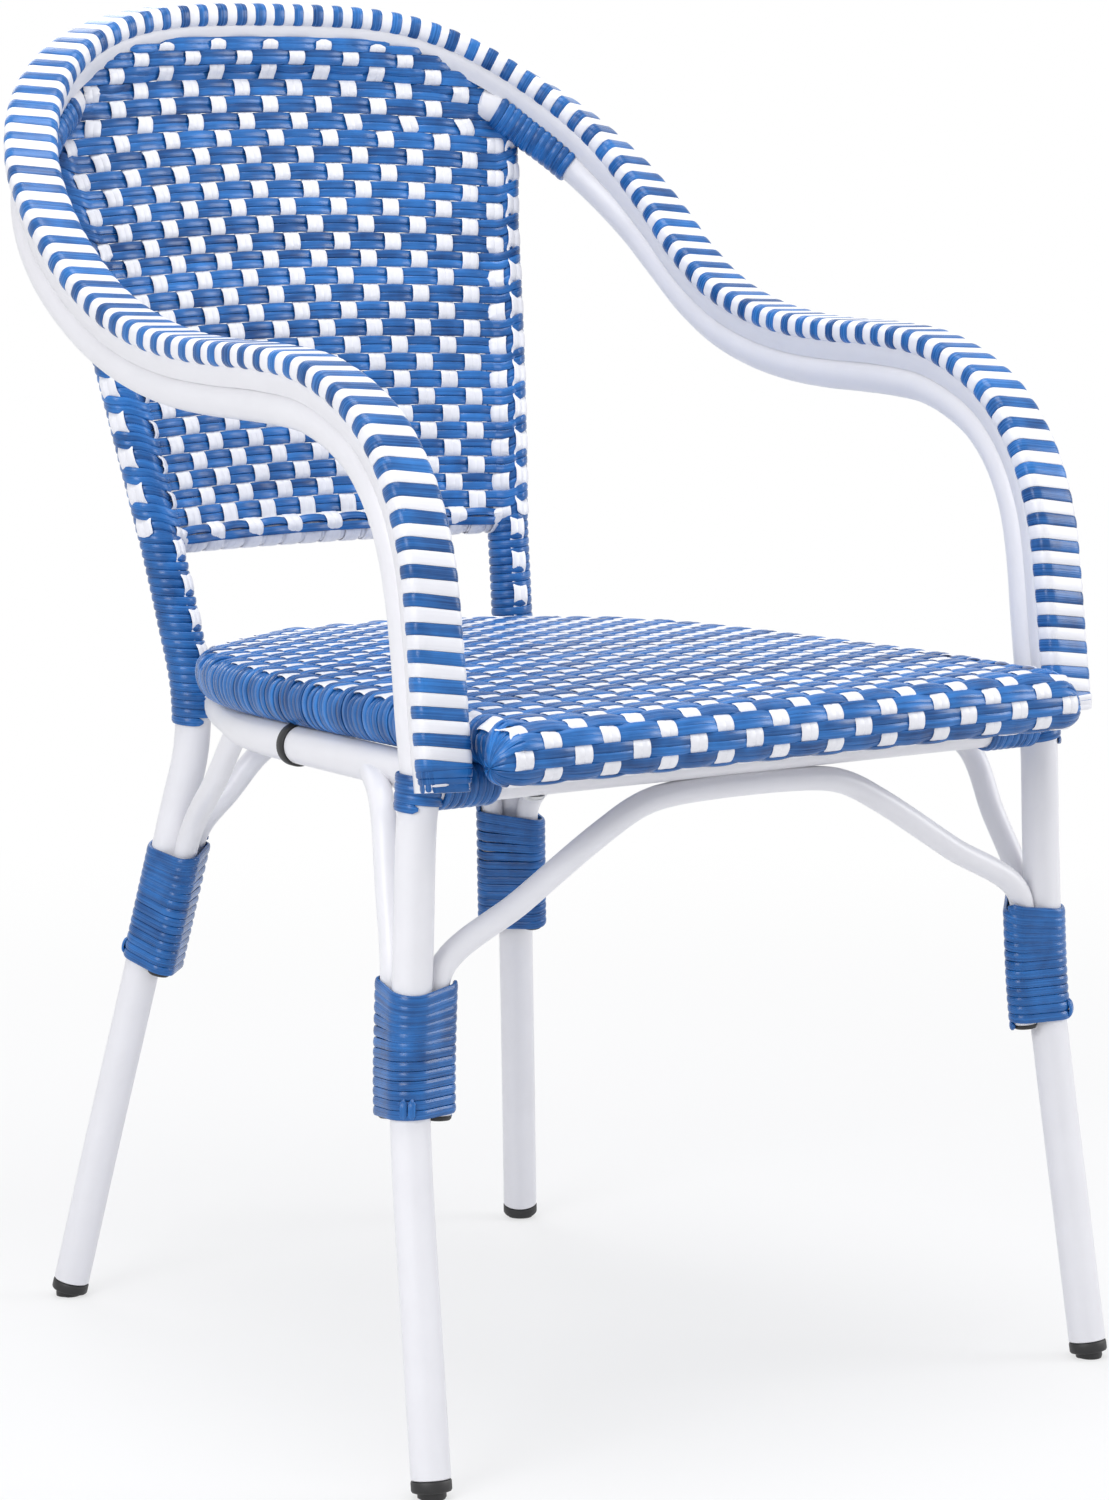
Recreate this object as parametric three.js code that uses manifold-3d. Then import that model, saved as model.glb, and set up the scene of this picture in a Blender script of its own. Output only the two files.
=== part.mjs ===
// Bistro armchair: a frame of bent tubes, a striped hand rail that runs over both arms and the top of
// the back, a woven back panel, a woven seat and wound strand bindings on the legs.
// Millimetres, +Z up. The chair faces -Y, +X is on the right of someone who looks at it from the front.
import * as THREE from 'three';
import { mergeVertices } from 'three/addons/utils/BufferGeometryUtils.js';
import Module from 'manifold-3d';

const wasm = await Module();
wasm.setup();

// Driving dimensions of the whole frame
const footHalfWidth = 272.2;
const footHalfDepth = 278.3;
const railTopHeight = 906;
const seatRailHeightShare = 0.47627;
const frameTubeDiameter = 25;
const braceTubeDiameter = 16;

// Driving dimensions of the striped hand rail
const railWidth = 36;
const railThickness = 16;
const railCornerRadius = 6;
const stripThickness = 1.4;
const beadHeight = 8.2;
const beadHalfWidthAtStrips = 14.5;
const beadSaddleAngle = THREE.MathUtils.degToRad(45);
const railEndShare = 0.00708;
const railTuckLength = 13;
const railTuckInset = 1;

// Driving dimensions of the seat
const seatFrameTubeDiameter = 22;
const seatRollDiameter = 33;
const seatSideInset = 38.41;
const seatBackReach = 5.61;
const seatFrontReach = 52.67;
const seatFrontBarOverhang = 13;
const seatSheetThickness = 5;
const seatCrown = 5;
const seatFrontDrop = 11;
const seatFrontDropRun = 36;

// Driving dimensions of the back panel
const crossbarDiameter = 16;
const crossbarRise = 110.5;
const crossbarBow = 16;
const strandWallOnCrossbar = 2.4;
const panelThickness = 7;
const panelBelly = -4;
const panelEdgeTopShare = 0.90287;

// Driving dimensions of the arches and side braces under the seat
const archTopHalfWidth = 84;
const rearArchTopHalfWidth = 56;
const archBendLength = 26;
const archBendDrop = 5;
const archKneeOffset = 31;
const archKneeDrop = 20;
const archLimbShare = 0.5;
const frontBraceReach = 92;
const frontBraceShares = [0.2, 0.42, 0.84];
const rearBraceReach = 160;
const rearBraceShares = [0.42, 0.86, 1.043];
const plugStemLength = 8;
const plugHeadThickness = 3;
const plugWall = 1.5;

// Driving dimensions of the strand bindings
const strandWidth = 5.4;
const strandHeight = 2.6;
const strandPitch = 6;
const frontBindingTurns = 13;
const rearBindingTurns = 14;
const frontBindingBottomShare = 0.25276;
const rearBindingBottomShare = 0.27042;
const wrapWall = 1.7;
const cornerWrapWall = 3;
const cornerWrapDrop = 13.5;
const cornerWrapRise = 9.3;
const cornerWrapReach = 38;
const postWrapDrop = 15.5;
const armEndWrapLength = 44;

// Driving dimensions of the feet and the small parts
const capNubDiameter = 18;
const capNubHeight = 3.6;
const capCollarHeight = 7.6;
const capStemDiameter = 19;
const capStemLength = 18;
const stackingRingWidth = 8;
const stackingRingWall = 1.8;
const stackingRingDepth = 34;
const seatBoltShare = 0.7674;
const seatBoltDiameter = 6;
const seatBoltHeadDiameter = 13;
const seatBoltHeadHeight = 3;
const seatTabWidth = 24;
const seatTabThickness = 4;

// Clearances
const jointGap = 0.3;
const beadGap = 0.5;
const frontBindingClearance = 1.2;
const rearBindingClearance = 0.85;
const cutOverrun = 40;
const weldDistance = 0.0001;
const shortestEdge = 0.03;

// Radii and heights that follow from the driving dimensions
const tubeRadius = frameTubeDiameter / 2;
const braceRadius = braceTubeDiameter / 2;
const seatFrameRadius = seatFrameTubeDiameter / 2;
const seatRollRadius = seatRollDiameter / 2;
const crossbarRadius = crossbarDiameter / 2;
const railOffset = tubeRadius + beadGap + beadHeight + railThickness / 2;
const seatRailHeight = railTopHeight * seatRailHeightShare;
const crossbarHeight = seatRailHeight + crossbarRise;
const panelEdgeTopHeight = railTopHeight * panelEdgeTopShare;
const seatRingHeight = seatRailHeight + tubeRadius + jointGap + seatRollRadius;
const archTopHeight = seatRailHeight - tubeRadius - jointGap - braceRadius;

// Numbers of facets and steps
const tubeSides = 10;
const braceSides = 8;
const turnPerStep = THREE.MathUtils.degToRad(20);
const fineSamples = 600;
const longestRunShare = 1 / 11;
const longestRailStepShare = 1 / 18;
const windingTurnSteps = 6;
const samplesPerSpan = 40;
const rollEndAngles = [60, 30, 0];
const panelColumns = 14;
const panelRows = 6;

// Finishes
const whiteFrame = { color: 0xf1f0f4, roughness: 0.38, metalness: 0.05 };
const blueStrand = { color: 0x2f66ae, roughness: 0.42, metalness: 0 };
const whiteStrand = { color: 0xf4f1f6, roughness: 0.42, metalness: 0 };
const blackPlastic = { color: 0x17171a, roughness: 0.55, metalness: 0 };
const brightSteel = { color: 0xb9bcc2, roughness: 0.3, metalness: 0.9 };

// Directions across the chair
const inward = new THREE.Vector3(-1, 0, 0);
const rearward = new THREE.Vector3(0, 1, 0);
const forward = new THREE.Vector3(0, -1, 0);
const up = new THREE.Vector3(0, 0, 1);

const chair = new THREE.Group();

// Adds one named piece with its own material to the chair.
function addPiece(name, geometry, finish) {
  const mesh = new THREE.Mesh(geometry, new THREE.MeshStandardMaterial(finish));
  mesh.name = name;
  chair.add(mesh);
}

// Turns a closed geometry into a solid that can be cut and joined.
function solidOf(geometry) {
  const merged = mergeVertices(stripped(geometry), weldDistance);
  const vertProperties = new Float32Array(merged.attributes.position.array);
  const triVerts = new Uint32Array(merged.index.array);
  return new wasm.Manifold(new wasm.Mesh({ numProp: 3, vertProperties, triVerts }));
}

// Turns a solid back into a geometry, without the edges that are too short to matter.
function geometryOf(solid) {
  const mesh = solid.getMesh();
  const geometry = new THREE.BufferGeometry();
  const position = new THREE.BufferAttribute(mesh.vertProperties, 3);
  geometry.setAttribute('position', position);
  geometry.setIndex(facesWithoutShortEdges(position, mesh.triVerts));
  return mergeVertices(geometry, weldDistance);
}

// The faces of a closed body after every edge under the shortest length has shrunk to one corner.
function facesWithoutShortEdges(position, corners) {
  const kept = Array.from({ length: position.count }, (_, corner) => corner);
  const keptOf = (corner) => (kept[corner] === corner ? corner : keptOf(kept[corner]));
  const from = new THREE.Vector3();
  const to = new THREE.Vector3();
  for (let place = 0; place < corners.length; place += 1) {
    const next = place % 3 === 2 ? place - 2 : place + 1;
    from.fromBufferAttribute(position, corners[place]);
    to.fromBufferAttribute(position, corners[next]);
    if (from.distanceTo(to) < shortestEdge) kept[keptOf(corners[place])] = keptOf(corners[next]);
  }
  const faces = [];
  for (let face = 0; face < corners.length; face += 3) {
    const [a, b, c] = [0, 1, 2].map((place) => keptOf(corners[face + place]));
    if (a !== b && b !== c && c !== a) faces.push(a, b, c);
  }
  return faces;
}

// Cuts every cutter out of a body and keeps its largest piece.
function cutBy(body, cutters) {
  let solid = solidOf(body);
  for (const cutter of cutters) solid = solid.subtract(solidOf(cutter));
  const pieces = solid.decompose();
  pieces.sort((one, other) => other.volume() - one.volume());
  return geometryOf(pieces[0]);
}

// A geometry with nothing but its positions.
function stripped(geometry) {
  const bare = geometry.clone();
  bare.deleteAttribute('normal');
  bare.deleteAttribute('uv');
  return bare;
}

// The mirror image of a geometry on the other side of the chair, with its faces turned out again.
function mirrored(geometry) {
  const source = geometry.index ? geometry : mergeVertices(stripped(geometry), weldDistance);
  const position = source.attributes.position.clone();
  for (let corner = 0; corner < position.count; corner += 1) {
    position.setX(corner, -position.getX(corner));
  }
  const index = source.index.clone();
  for (let face = 0; face < index.count; face += 3) {
    index.setX(face + 1, source.index.getX(face + 2));
    index.setX(face + 2, source.index.getX(face + 1));
  }
  const flipped = new THREE.BufferGeometry();
  flipped.setAttribute('position', position);
  flipped.setIndex(index);
  return flipped;
}

// Shares of a curve's length from one share up to another, set by its bends, without the last one.
function stationsBetween(curve, from, to, longestStep) {
  const length = curve.getLength();
  const samples = Math.ceil(fineSamples * (to - from));
  const stations = [from];
  let turn = 0;
  let heading = curve.getTangentAt(from);
  for (let sample = 1; sample < samples; sample += 1) {
    const share = from + (to - from) * sample / samples;
    const next = curve.getTangentAt(share);
    turn += heading.angleTo(next);
    heading = next;
    const run = (share - stations[stations.length - 1]) * length;
    if (turn >= turnPerStep || run >= longestStep) {
      stations.push(share);
      turn = 0;
    }
  }
  const rest = (to - stations[stations.length - 1]) * length;
  if (rest < longestStep / 4 && stations.length > 1) stations.pop();
  return stations;
}

// A curve that is walked by stations set by its bends, so straight runs take few steps. Between the
// fixed shares, where there are any, it has no other stations.
class StationedPath extends THREE.Curve {
  constructor(curve, longestStep, symmetric = false, fixedShares = []) {
    super();
    this.curve = curve;
    const end = symmetric ? 0.5 : 1;
    if (fixedShares.length > 0) {
      const last = fixedShares[fixedShares.length - 1];
      this.shares = [
        ...stationsBetween(curve, 0, fixedShares[0], longestStep),
        ...fixedShares.slice(0, -1),
        ...stationsBetween(curve, last, end, longestStep),
      ];
    } else {
      this.shares = stationsBetween(curve, 0, end, longestStep);
    }
    this.shares.push(end);
    if (symmetric) this.shares.push(...this.shares.slice(0, -1).reverse().map((share) => 1 - share));
    this.steps = this.shares.length - 1;
  }

  shareAt(walk) {
    return this.shares[Math.round(walk * this.steps)];
  }

  // The part of this path between two shares, with the same corners.
  between(from, to) {
    const part = new StationedPath(this.curve, Infinity);
    part.shares = [from, ...this.shares.filter((share) => share > from && share < to), to];
    part.steps = part.shares.length - 1;
    return part;
  }

  getPointAt(walk, target) {
    return this.curve.getPointAt(this.shareAt(walk), target);
  }

  getTangentAt(walk, target) {
    return this.curve.getTangentAt(this.shareAt(walk), target);
  }
}

// A round outline with the given number of corners.
function roundOutline(radius, sides) {
  const outline = new THREE.Shape();
  for (let side = 0; side < sides; side += 1) {
    const angle = 2 * Math.PI * (side + 0.5) / sides;
    const x = radius * Math.cos(angle);
    const y = radius * Math.sin(angle);
    if (side === 0) outline.moveTo(x, y);
    else outline.lineTo(x, y);
  }
  outline.closePath();
  return outline;
}

// A solid round bar along a curve.
function barAlong(path, radius, sides) {
  return new THREE.ExtrudeGeometry(roundOutline(radius, sides), {
    steps: path.steps,
    extrudePath: path,
    bevelEnabled: false,
  });
}

// The same bar, grown so that each of its flats keeps the joint gap to the flat of the real one.
function cutterAlong(path, radius, sides) {
  return barAlong(path, radius + jointGap / Math.cos(Math.PI / sides), sides);
}

// A bore along a path, whose flats keep the joint gap to any round body of a radius.
function boreAlong(path, radius, sides) {
  return barAlong(path, (radius + jointGap) / Math.cos(Math.PI / sides), sides);
}

// A straight path between two points.
function straightPath(from, to) {
  return new StationedPath(new THREE.LineCurve3(from, to), from.distanceTo(to));
}

// A smooth curve through points.
function smoothCurve(points) {
  const curve = new THREE.CatmullRomCurve3(points, false, 'centripetal');
  curve.arcLengthDivisions = fineSamples;
  return curve;
}

// The shares of a smooth curve's length at which some of its points lie.
function knotShares(curve, first, count) {
  const lengths = curve.getLengths((curve.points.length - 1) * samplesPerSpan);
  const whole = lengths[lengths.length - 1];
  const shares = [];
  for (let knot = first; knot < first + count; knot += 1) {
    shares.push(lengths[knot * samplesPerSpan] / whole);
  }
  return shares;
}

// The points on the other side of the chair, in the opposite order.
function mirroredPoints(points) {
  return points.slice().reverse().map((point) => new THREE.Vector3(-point.x, point.y, point.z));
}

// The first point of a curve at a height.
function pointAtHeight(curve, height) {
  let before = curve.getPointAt(0);
  for (let sample = 1; sample <= fineSamples; sample += 1) {
    const point = curve.getPointAt(sample / fineSamples);
    if (point.z >= height && before.z < height) {
      return before.clone().lerp(point, (height - before.z) / (point.z - before.z));
    }
    before = point;
  }
  return before;
}

// The direction of a curve at a height.
function headingAtHeight(curve, height) {
  const below = pointAtHeight(curve, height - jointGap);
  const above = pointAtHeight(curve, height + jointGap);
  return above.sub(below).normalize();
}

// The part of a curve between two heights, as a path.
function runBetweenHeights(curve, low, high, steps) {
  const points = [];
  for (let step = 0; step <= steps; step += 1) {
    points.push(pointAtHeight(curve, low + (high - low) * step / steps));
  }
  return new StationedPath(smoothCurve(points), (high - low) / steps);
}

// A body swept through a list of frames, each with a point, an outward and an across direction.
// The outline is a list of [across, outward] points that runs anticlockwise seen along the sweep. Its
// faces are split the same way whichever way the outline runs, so two sweeps lie evenly on each other.
function sweepFrames(frames, outline) {
  const positions = [];
  for (const frame of frames) {
    for (const [across, outward] of outline) {
      const point = frame.point.clone().addScaledVector(frame.across, across);
      point.addScaledVector(frame.outward, outward);
      positions.push(point.x, point.y, point.z);
    }
  }
  const size = outline.length;
  const rings = frames.length;
  const faces = [];
  for (let ring = 0; ring + 1 < rings; ring += 1) {
    const here = ring * size;
    const next = here + size;
    for (let side = 0; side < size; side += 1) {
      const after = (side + 1) % size;
      const step = [0, 1].map((axis) => outline[after][axis] - outline[side][axis]);
      if (step[0] > 0 || (step[0] === 0 && step[1] > 0)) {
        faces.push(here + side, here + after, next + side);
        faces.push(here + after, next + after, next + side);
      } else {
        faces.push(here + side, here + after, next + after);
        faces.push(here + side, next + after, next + side);
      }
    }
  }
  const flat = outline.map(([across, outward]) => new THREE.Vector2(across, outward));
  const last = (rings - 1) * size;
  for (const [a, b, c] of THREE.ShapeUtils.triangulateShape(flat, [])) {
    faces.push(a, c, b);
    faces.push(last + a, last + b, last + c);
  }
  const geometry = new THREE.BufferGeometry();
  geometry.setAttribute('position', new THREE.Float32BufferAttribute(positions, 3));
  geometry.setIndex(faces);
  return facingOut(geometry);
}

// Turns the faces of a closed geometry out, when they all face in.
function facingOut(geometry) {
  const position = geometry.attributes.position;
  const index = geometry.index;
  const corners = [new THREE.Vector3(), new THREE.Vector3(), new THREE.Vector3()];
  let volume = 0;
  for (let face = 0; face < index.count; face += 3) {
    corners.forEach((corner, place) => corner.fromBufferAttribute(position, index.getX(face + place)));
    volume += corners[0].dot(corners[1].clone().cross(corners[2]));
  }
  if (volume < 0) {
    for (let face = 0; face < index.count; face += 3) {
      const second = index.getX(face + 1);
      index.setX(face + 1, index.getX(face + 2));
      index.setX(face + 2, second);
    }
  }
  geometry.computeVertexNormals();
  return geometry;
}

// Places a list of share triples in the frame's own sizes: width, depth and height.
function placed(shares) {
  return shares.map(([x, y, z]) => new THREE.Vector3(
    x * footHalfWidth,
    y * footHalfDepth,
    z * railTopHeight,
  ));
}

// The hand rail. Its shares run from the lower front end on the right to the middle of the top, and
// follow the half width and half depth between the feet and the height of the rail's middle.
const railShares = [
  [0.9331, -0.9684, 0.4757],
  [0.9315, -0.9447, 0.5263],
  [0.9300, -0.9227, 0.5798],
  [0.9290, -0.8904, 0.6339],
  [0.9285, -0.8185, 0.6818],
  [0.9290, -0.6957, 0.7212],
  [0.9310, -0.4941, 0.7488],
  [0.9355, -0.2871, 0.7563],
  [0.9400, -0.1046, 0.7573],
  [0.9435, 0.0769, 0.7609],
  [0.9460, 0.2393, 0.7701],
  [0.9485, 0.3906, 0.7868],
  [0.9520, 0.5325, 0.8140],
  [0.9490, 0.6622, 0.8492],
  [0.9210, 0.7790, 0.8834],
  [0.8571, 0.8843, 0.9164],
  [0.7612, 0.9810, 0.9454],
  [0.6345, 1.0570, 0.9703],
  [0.4956, 1.1010, 0.9868],
  [0.3306, 1.1230, 0.9964],
  [0, 1.1400, 1],
];
const railRight = placed(railShares);
const railCurve = smoothCurve([...railRight, ...mirroredPoints(railRight.slice(0, -1))]);

// The rail's frame at a share of its length: outward points away from the tube that carries it.
function railFrame(share) {
  const point = railCurve.getPointAt(share);
  const heading = railCurve.getTangentAt(share);
  const level = Math.hypot(heading.x, heading.y);
  const outward = new THREE.Vector3(
    -heading.z * heading.x / level,
    -heading.z * heading.y / level,
    level,
  );
  const across = heading.clone().cross(outward);
  return { point, heading, outward, across };
}

// The first share of the rail's length at which it reaches a height.
function railShareAtHeight(height) {
  let share = 0;
  while (railCurve.getPointAt(share).z < height) share += 1 / fineSamples / 4;
  return share;
}

// A point of the tube that carries the rail, at a share of the rail's length.
function carrierPoint(share) {
  const frame = railFrame(share);
  return frame.point.addScaledVector(frame.outward, -railOffset);
}

const longestRailStep = railTopHeight * longestRailStepShare;
const railStations = new StationedPath(railCurve, longestRailStep, true).shares
  .filter((share) => share > railEndShare && share < 1 - railEndShare);
const railFrameShares = [railEndShare, ...railStations, 1 - railEndShare];
const railFrames = railFrameShares.map(railFrame);

// The points of the carrying tube below the rail's own stations between two shares, so that the tube
// and the rail bend at the same places.
function carrierPointsBetween(from, to) {
  return railStations.filter((share) => share >= from && share <= to).map(carrierPoint);
}

// The rear legs, the back posts and the top arch are one bent tube. Its shares run up the right side.
const postShares = [
  [0.7340, 1.0000, 0],
  [0.6670, 0.9190, 0.1325],
  [0.5970, 0.8360, 0.2660],
  [0.5350, 0.7610, 0.3870],
  [0.5080, 0.7300, 0.4410],
  [0.5090, 0.7250, 0.4840],
  [0.5264, 0.7603, 0.5395],
  [0.5470, 0.8024, 0.5959],
  [0.5782, 0.8509, 0.6621],
  [0.6212, 0.9227, 0.7509],
  [0.6690, 1.0090, 0.8386],
  [0.6960, 1.0470, 0.8830],
  [0.6940, 1.0690, 0.9130],
];
const archStartShare = 0.4325;

// The arm tubes start at the front feet. Their shares run up to the lower end of the hand rail.
const frontLegShares = [
  [1.0000, -1.0000, 0],
  [0.9860, -0.9440, 0.1090],
  [0.9710, -0.8870, 0.2210],
  [0.9610, -0.8660, 0.2760],
  [0.9450, -0.8600, 0.3750],
  [0.9345, -0.8590, 0.4540],
];
const armEndShare = 0.4005;

const capHeight = capNubHeight + capCollarHeight;
const postKnots = placed(postShares);
const legKnots = placed(frontLegShares);

// The foot point and the heading of a leg.
function footOf(knots) {
  const heading = knots[1].clone().sub(knots[0]).normalize();
  return { point: knots[0].clone(), heading };
}

// Moves the first knot of a leg up to the top of its foot cap.
function aboveCap(knots) {
  const foot = footOf(knots);
  const start = foot.point.addScaledVector(foot.heading, capHeight + jointGap);
  return [start, ...knots.slice(1)];
}

const archRight = [carrierPoint(archStartShare), ...carrierPointsBetween(archStartShare, 0.5).slice(0, -1)];
const hoopRight = [...aboveCap(postKnots), ...archRight];
const hoopTop = carrierPoint(0.5);
hoopTop.x = 0;
const hoopCurve = smoothCurve([...hoopRight, hoopTop, ...mirroredPoints(hoopRight)]);
const longestRun = railTopHeight * longestRunShare;
const archKnotShares = knotShares(hoopCurve, postKnots.length, archRight.length);
const hoopPath = new StationedPath(hoopCurve, longestRun, true, archKnotShares);
const postCurve = smoothCurve([...hoopRight, hoopTop]);

const armStartShare = railShareAtHeight(legKnots[legKnots.length - 1].z + tubeRadius * 2);
const armCarried = [...carrierPointsBetween(armStartShare, armEndShare), carrierPoint(armEndShare)];
const armPostPoint = pointAtHeight(postCurve, panelEdgeTopHeight + tubeRadius);
const armCurve = smoothCurve([...aboveCap(legKnots), ...armCarried, armPostPoint]);
const armKnotShares = knotShares(armCurve, legKnots.length, armCarried.length);
const armPath = new StationedPath(armCurve, longestRun, false, armKnotShares);

// Cutters of the two main tubes, for all that meets them
const hoopCutter = cutterAlong(hoopPath, tubeRadius, tubeSides);
const armCutter = cutterAlong(armPath, tubeRadius, tubeSides);
const armCutters = [armCutter, mirrored(armCutter)];

// The blind bore in a leg that takes the stem of its foot cap.
function footBore(knots) {
  const foot = footOf(knots);
  const from = foot.point.clone().addScaledVector(foot.heading, capNubHeight);
  const to = foot.point.clone().addScaledVector(foot.heading, capHeight + capStemLength + jointGap);
  return boreAlong(straightPath(from, to), capStemDiameter / 2, tubeSides);
}

const rearBore = footBore(postKnots);
const frontBore = footBore(legKnots);
const hoop = cutBy(barAlong(hoopPath, tubeRadius, tubeSides), [rearBore, mirrored(rearBore)]);
addPiece('back_hoop', hoop, whiteFrame);
const armTube = cutBy(barAlong(armPath, tubeRadius, tubeSides), [frontBore, hoopCutter]);
addPiece('arm_tube_right', armTube, whiteFrame);
addPiece('arm_tube_left', mirrored(armTube), whiteFrame);

// A turned body whose axis starts at a point and runs along a heading.
function turned(profile, point, heading, sides) {
  const geometry = new THREE.LatheGeometry(profile.map(([r, h]) => new THREE.Vector2(r, h)), sides);
  const upright = new THREE.Vector3(0, 1, 0);
  geometry.applyQuaternion(new THREE.Quaternion().setFromUnitVectors(upright, heading));
  geometry.translate(point.x, point.y, point.z);
  return facingOut(mergeVertices(stripped(geometry), weldDistance));
}

// A box between two corners.
function boxBetween(low, high) {
  const size = high.clone().sub(low);
  const middle = high.clone().add(low).multiplyScalar(0.5);
  const geometry = new THREE.BoxGeometry(size.x, size.y, size.z);
  geometry.translate(middle.x, middle.y, middle.z);
  return geometry;
}

// A foot cap: a nub that is cut flat on the floor, a collar as wide as the tube and a stem in its bore.
function footCap(knots) {
  const foot = footOf(knots);
  const nub = capNubDiameter / 2;
  const tilt = Math.sqrt(1 - foot.heading.z ** 2) / foot.heading.z;
  const below = -nub * tilt - jointGap;
  const stem = capStemDiameter / 2;
  const profile = [
    [0, below],
    [nub, below],
    [nub, capNubHeight],
    [tubeRadius, capNubHeight],
    [tubeRadius, capHeight],
    [stem, capHeight],
    [stem, capHeight + capStemLength],
    [0, capHeight + capStemLength],
  ];
  const body = turned(profile, foot.point, foot.heading, tubeSides);
  const low = new THREE.Vector3(foot.point.x - cutOverrun, foot.point.y - cutOverrun, -cutOverrun);
  const high = new THREE.Vector3(foot.point.x + cutOverrun, foot.point.y + cutOverrun, 0);
  return cutBy(body, [boxBetween(low, high)]);
}

const frontCap = footCap(legKnots);
const rearCap = footCap(postKnots);
addPiece('foot_cap_front_right', frontCap, blackPlastic);
addPiece('foot_cap_front_left', mirrored(frontCap), blackPlastic);
addPiece('foot_cap_rear_right', rearCap, blackPlastic);
addPiece('foot_cap_rear_left', mirrored(rearCap), blackPlastic);

// The core of the hand rail: a flat bar with a bead that saddles the tube below it.
function railCoreOutline() {
  const half = railWidth / 2 - stripThickness - jointGap;
  const top = railThickness / 2 - stripThickness - jointGap;
  const shoulder = -railThickness / 2;
  const corner = railCornerRadius / 2;
  const saddleRadius = (tubeRadius + beadGap) / Math.cos(beadSaddleAngle / 2);
  const saddleAt = (angle) => [
    saddleRadius * Math.sin(angle),
    saddleRadius * Math.cos(angle) - railOffset,
  ];
  return [
    [-half, shoulder],
    [-beadHalfWidthAtStrips, shoulder],
    saddleAt(-beadSaddleAngle),
    saddleAt(0),
    saddleAt(beadSaddleAngle),
    [beadHalfWidthAtStrips, shoulder],
    [half, shoulder],
    [half, top - corner],
    [half - corner, top],
    [-half + corner, top],
    [-half, top - corner],
  ];
}

// The striped cover of the rail: strips side by side round its top, its edges and its shoulders.
function railCoverOutline() {
  const half = railWidth / 2;
  const top = railThickness / 2;
  const low = -railThickness / 2;
  const corner = railCornerRadius / 2;
  const inner = half - stripThickness;
  return [
    [-inner, low],
    [-inner, top - stripThickness - corner],
    [-inner + corner, top - stripThickness],
    [inner - corner, top - stripThickness],
    [inner, top - stripThickness - corner],
    [inner, low],
    [half, low],
    [half, top - railCornerRadius],
    [half - railCornerRadius / 4, top - railCornerRadius / 4],
    [half - railCornerRadius, top],
    [-half + railCornerRadius, top],
    [-half + railCornerRadius / 4, top - railCornerRadius / 4],
    [-half, top - railCornerRadius],
    [-half, low],
  ];
}

const coreBody = sweepFrames(railFrames, railCoreOutline());
const railCore = cutBy(coreBody, [hoopCutter, ...armCutters]);
addPiece('rail_core', railCore, whiteFrame);
addPiece('rail_strip_cover', sweepFrames(railFrames, railCoverOutline()), blueStrand);

// The strip ends that are tucked in under each lower end of the rail.
const tuckFrames = [0, 1].map((walk) => {
  const frame = railFrame(railEndShare);
  const reach = -jointGap - railTuckLength * (1 - walk);
  frame.point.addScaledVector(frame.heading, reach);
  return frame;
});
const tuckHalf = railWidth / 2 - railTuckInset;
const tuckLow = -railThickness / 2 + railTuckInset;
const tuckHigh = railThickness / 2 - railTuckInset;
const tuckOutline = [
  [-tuckHalf, tuckLow],
  [tuckHalf, tuckLow],
  [tuckHalf, tuckHigh - railTuckInset],
  [tuckHalf - railTuckInset, tuckHigh],
  [-tuckHalf + railTuckInset, tuckHigh],
  [-tuckHalf, tuckHigh - railTuckInset],
];
const railTuck = sweepFrames(tuckFrames, tuckOutline);
addPiece('rail_end_tuck_right', railTuck, blueStrand);
addPiece('rail_end_tuck_left', mirrored(railTuck), blueStrand);

// The front rail under the seat, saddled on both front legs.
const legAtRail = pointAtHeight(armCurve, seatRailHeight);
const legAtRailLeft = new THREE.Vector3(-legAtRail.x, legAtRail.y, legAtRail.z);
const seatRingHalfWidth = legAtRail.x - seatSideInset;
const seatFrontBarDepth = seatFrontReach - legAtRail.y;
const seatFrontBarHalfLength = seatRingHalfWidth + seatFrontBarOverhang;
const frontRailPath = straightPath(legAtRailLeft, legAtRail);
const frontRailCutter = cutterAlong(frontRailPath, tubeRadius, tubeSides);
const seatBoltSpan = seatRingHalfWidth * seatBoltShare;
const boltPoint = new THREE.Vector3(-seatBoltSpan, legAtRail.y, seatRailHeight);
const boltTop = boltPoint.clone().setZ(seatRailHeight + tubeRadius + seatTabThickness * 2);
const boltFoot = boltPoint.clone().setZ(seatRailHeight - tubeRadius - seatBoltHeadHeight);
const boltShankPath = straightPath(boltFoot, boltTop);
const boltBore = boreAlong(boltShankPath, seatBoltDiameter / 2, braceSides);
const frontRail = cutBy(barAlong(frontRailPath, tubeRadius, tubeSides), [...armCutters, boltBore]);
addPiece('front_seat_rail', frontRail, whiteFrame);

// The seat rail: two sides and a round back in one bent tube, from the front rail round the posts.
const postAtRail = pointAtHeight(postCurve, seatRailHeight);
const seatRingBack = postAtRail.y + seatBackReach;
const seatRailShares = [
  [1.0250, 0.8250],
  [1.0120, 0.6400],
  [0.9900, 0.4300],
  [0.9650, 0.2100],
  [0.9350, -0.0300],
  [0.8900, -0.2300],
  [0.8150, -0.4150],
];
const seatRailBackShares = [
  [0.3400, -0.9150],
  [0, -0.9420],
];
const besidePost = postAtRail.clone();
const railAround = new THREE.Vector3(-1, -1, 0).normalize();
besidePost.addScaledVector(railAround, frameTubeDiameter + jointGap * 2);
besidePost.z = seatRailHeight;
function seatRailPoint([x, y]) {
  const depth = y > 0 ? -y * seatFrontBarDepth : -y * seatRingBack;
  return new THREE.Vector3(x * seatRingHalfWidth, depth, seatRailHeight);
}
const seatRailRight = [
  ...seatRailShares.map(seatRailPoint),
  besidePost,
  ...seatRailBackShares.map(seatRailPoint),
];
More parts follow.
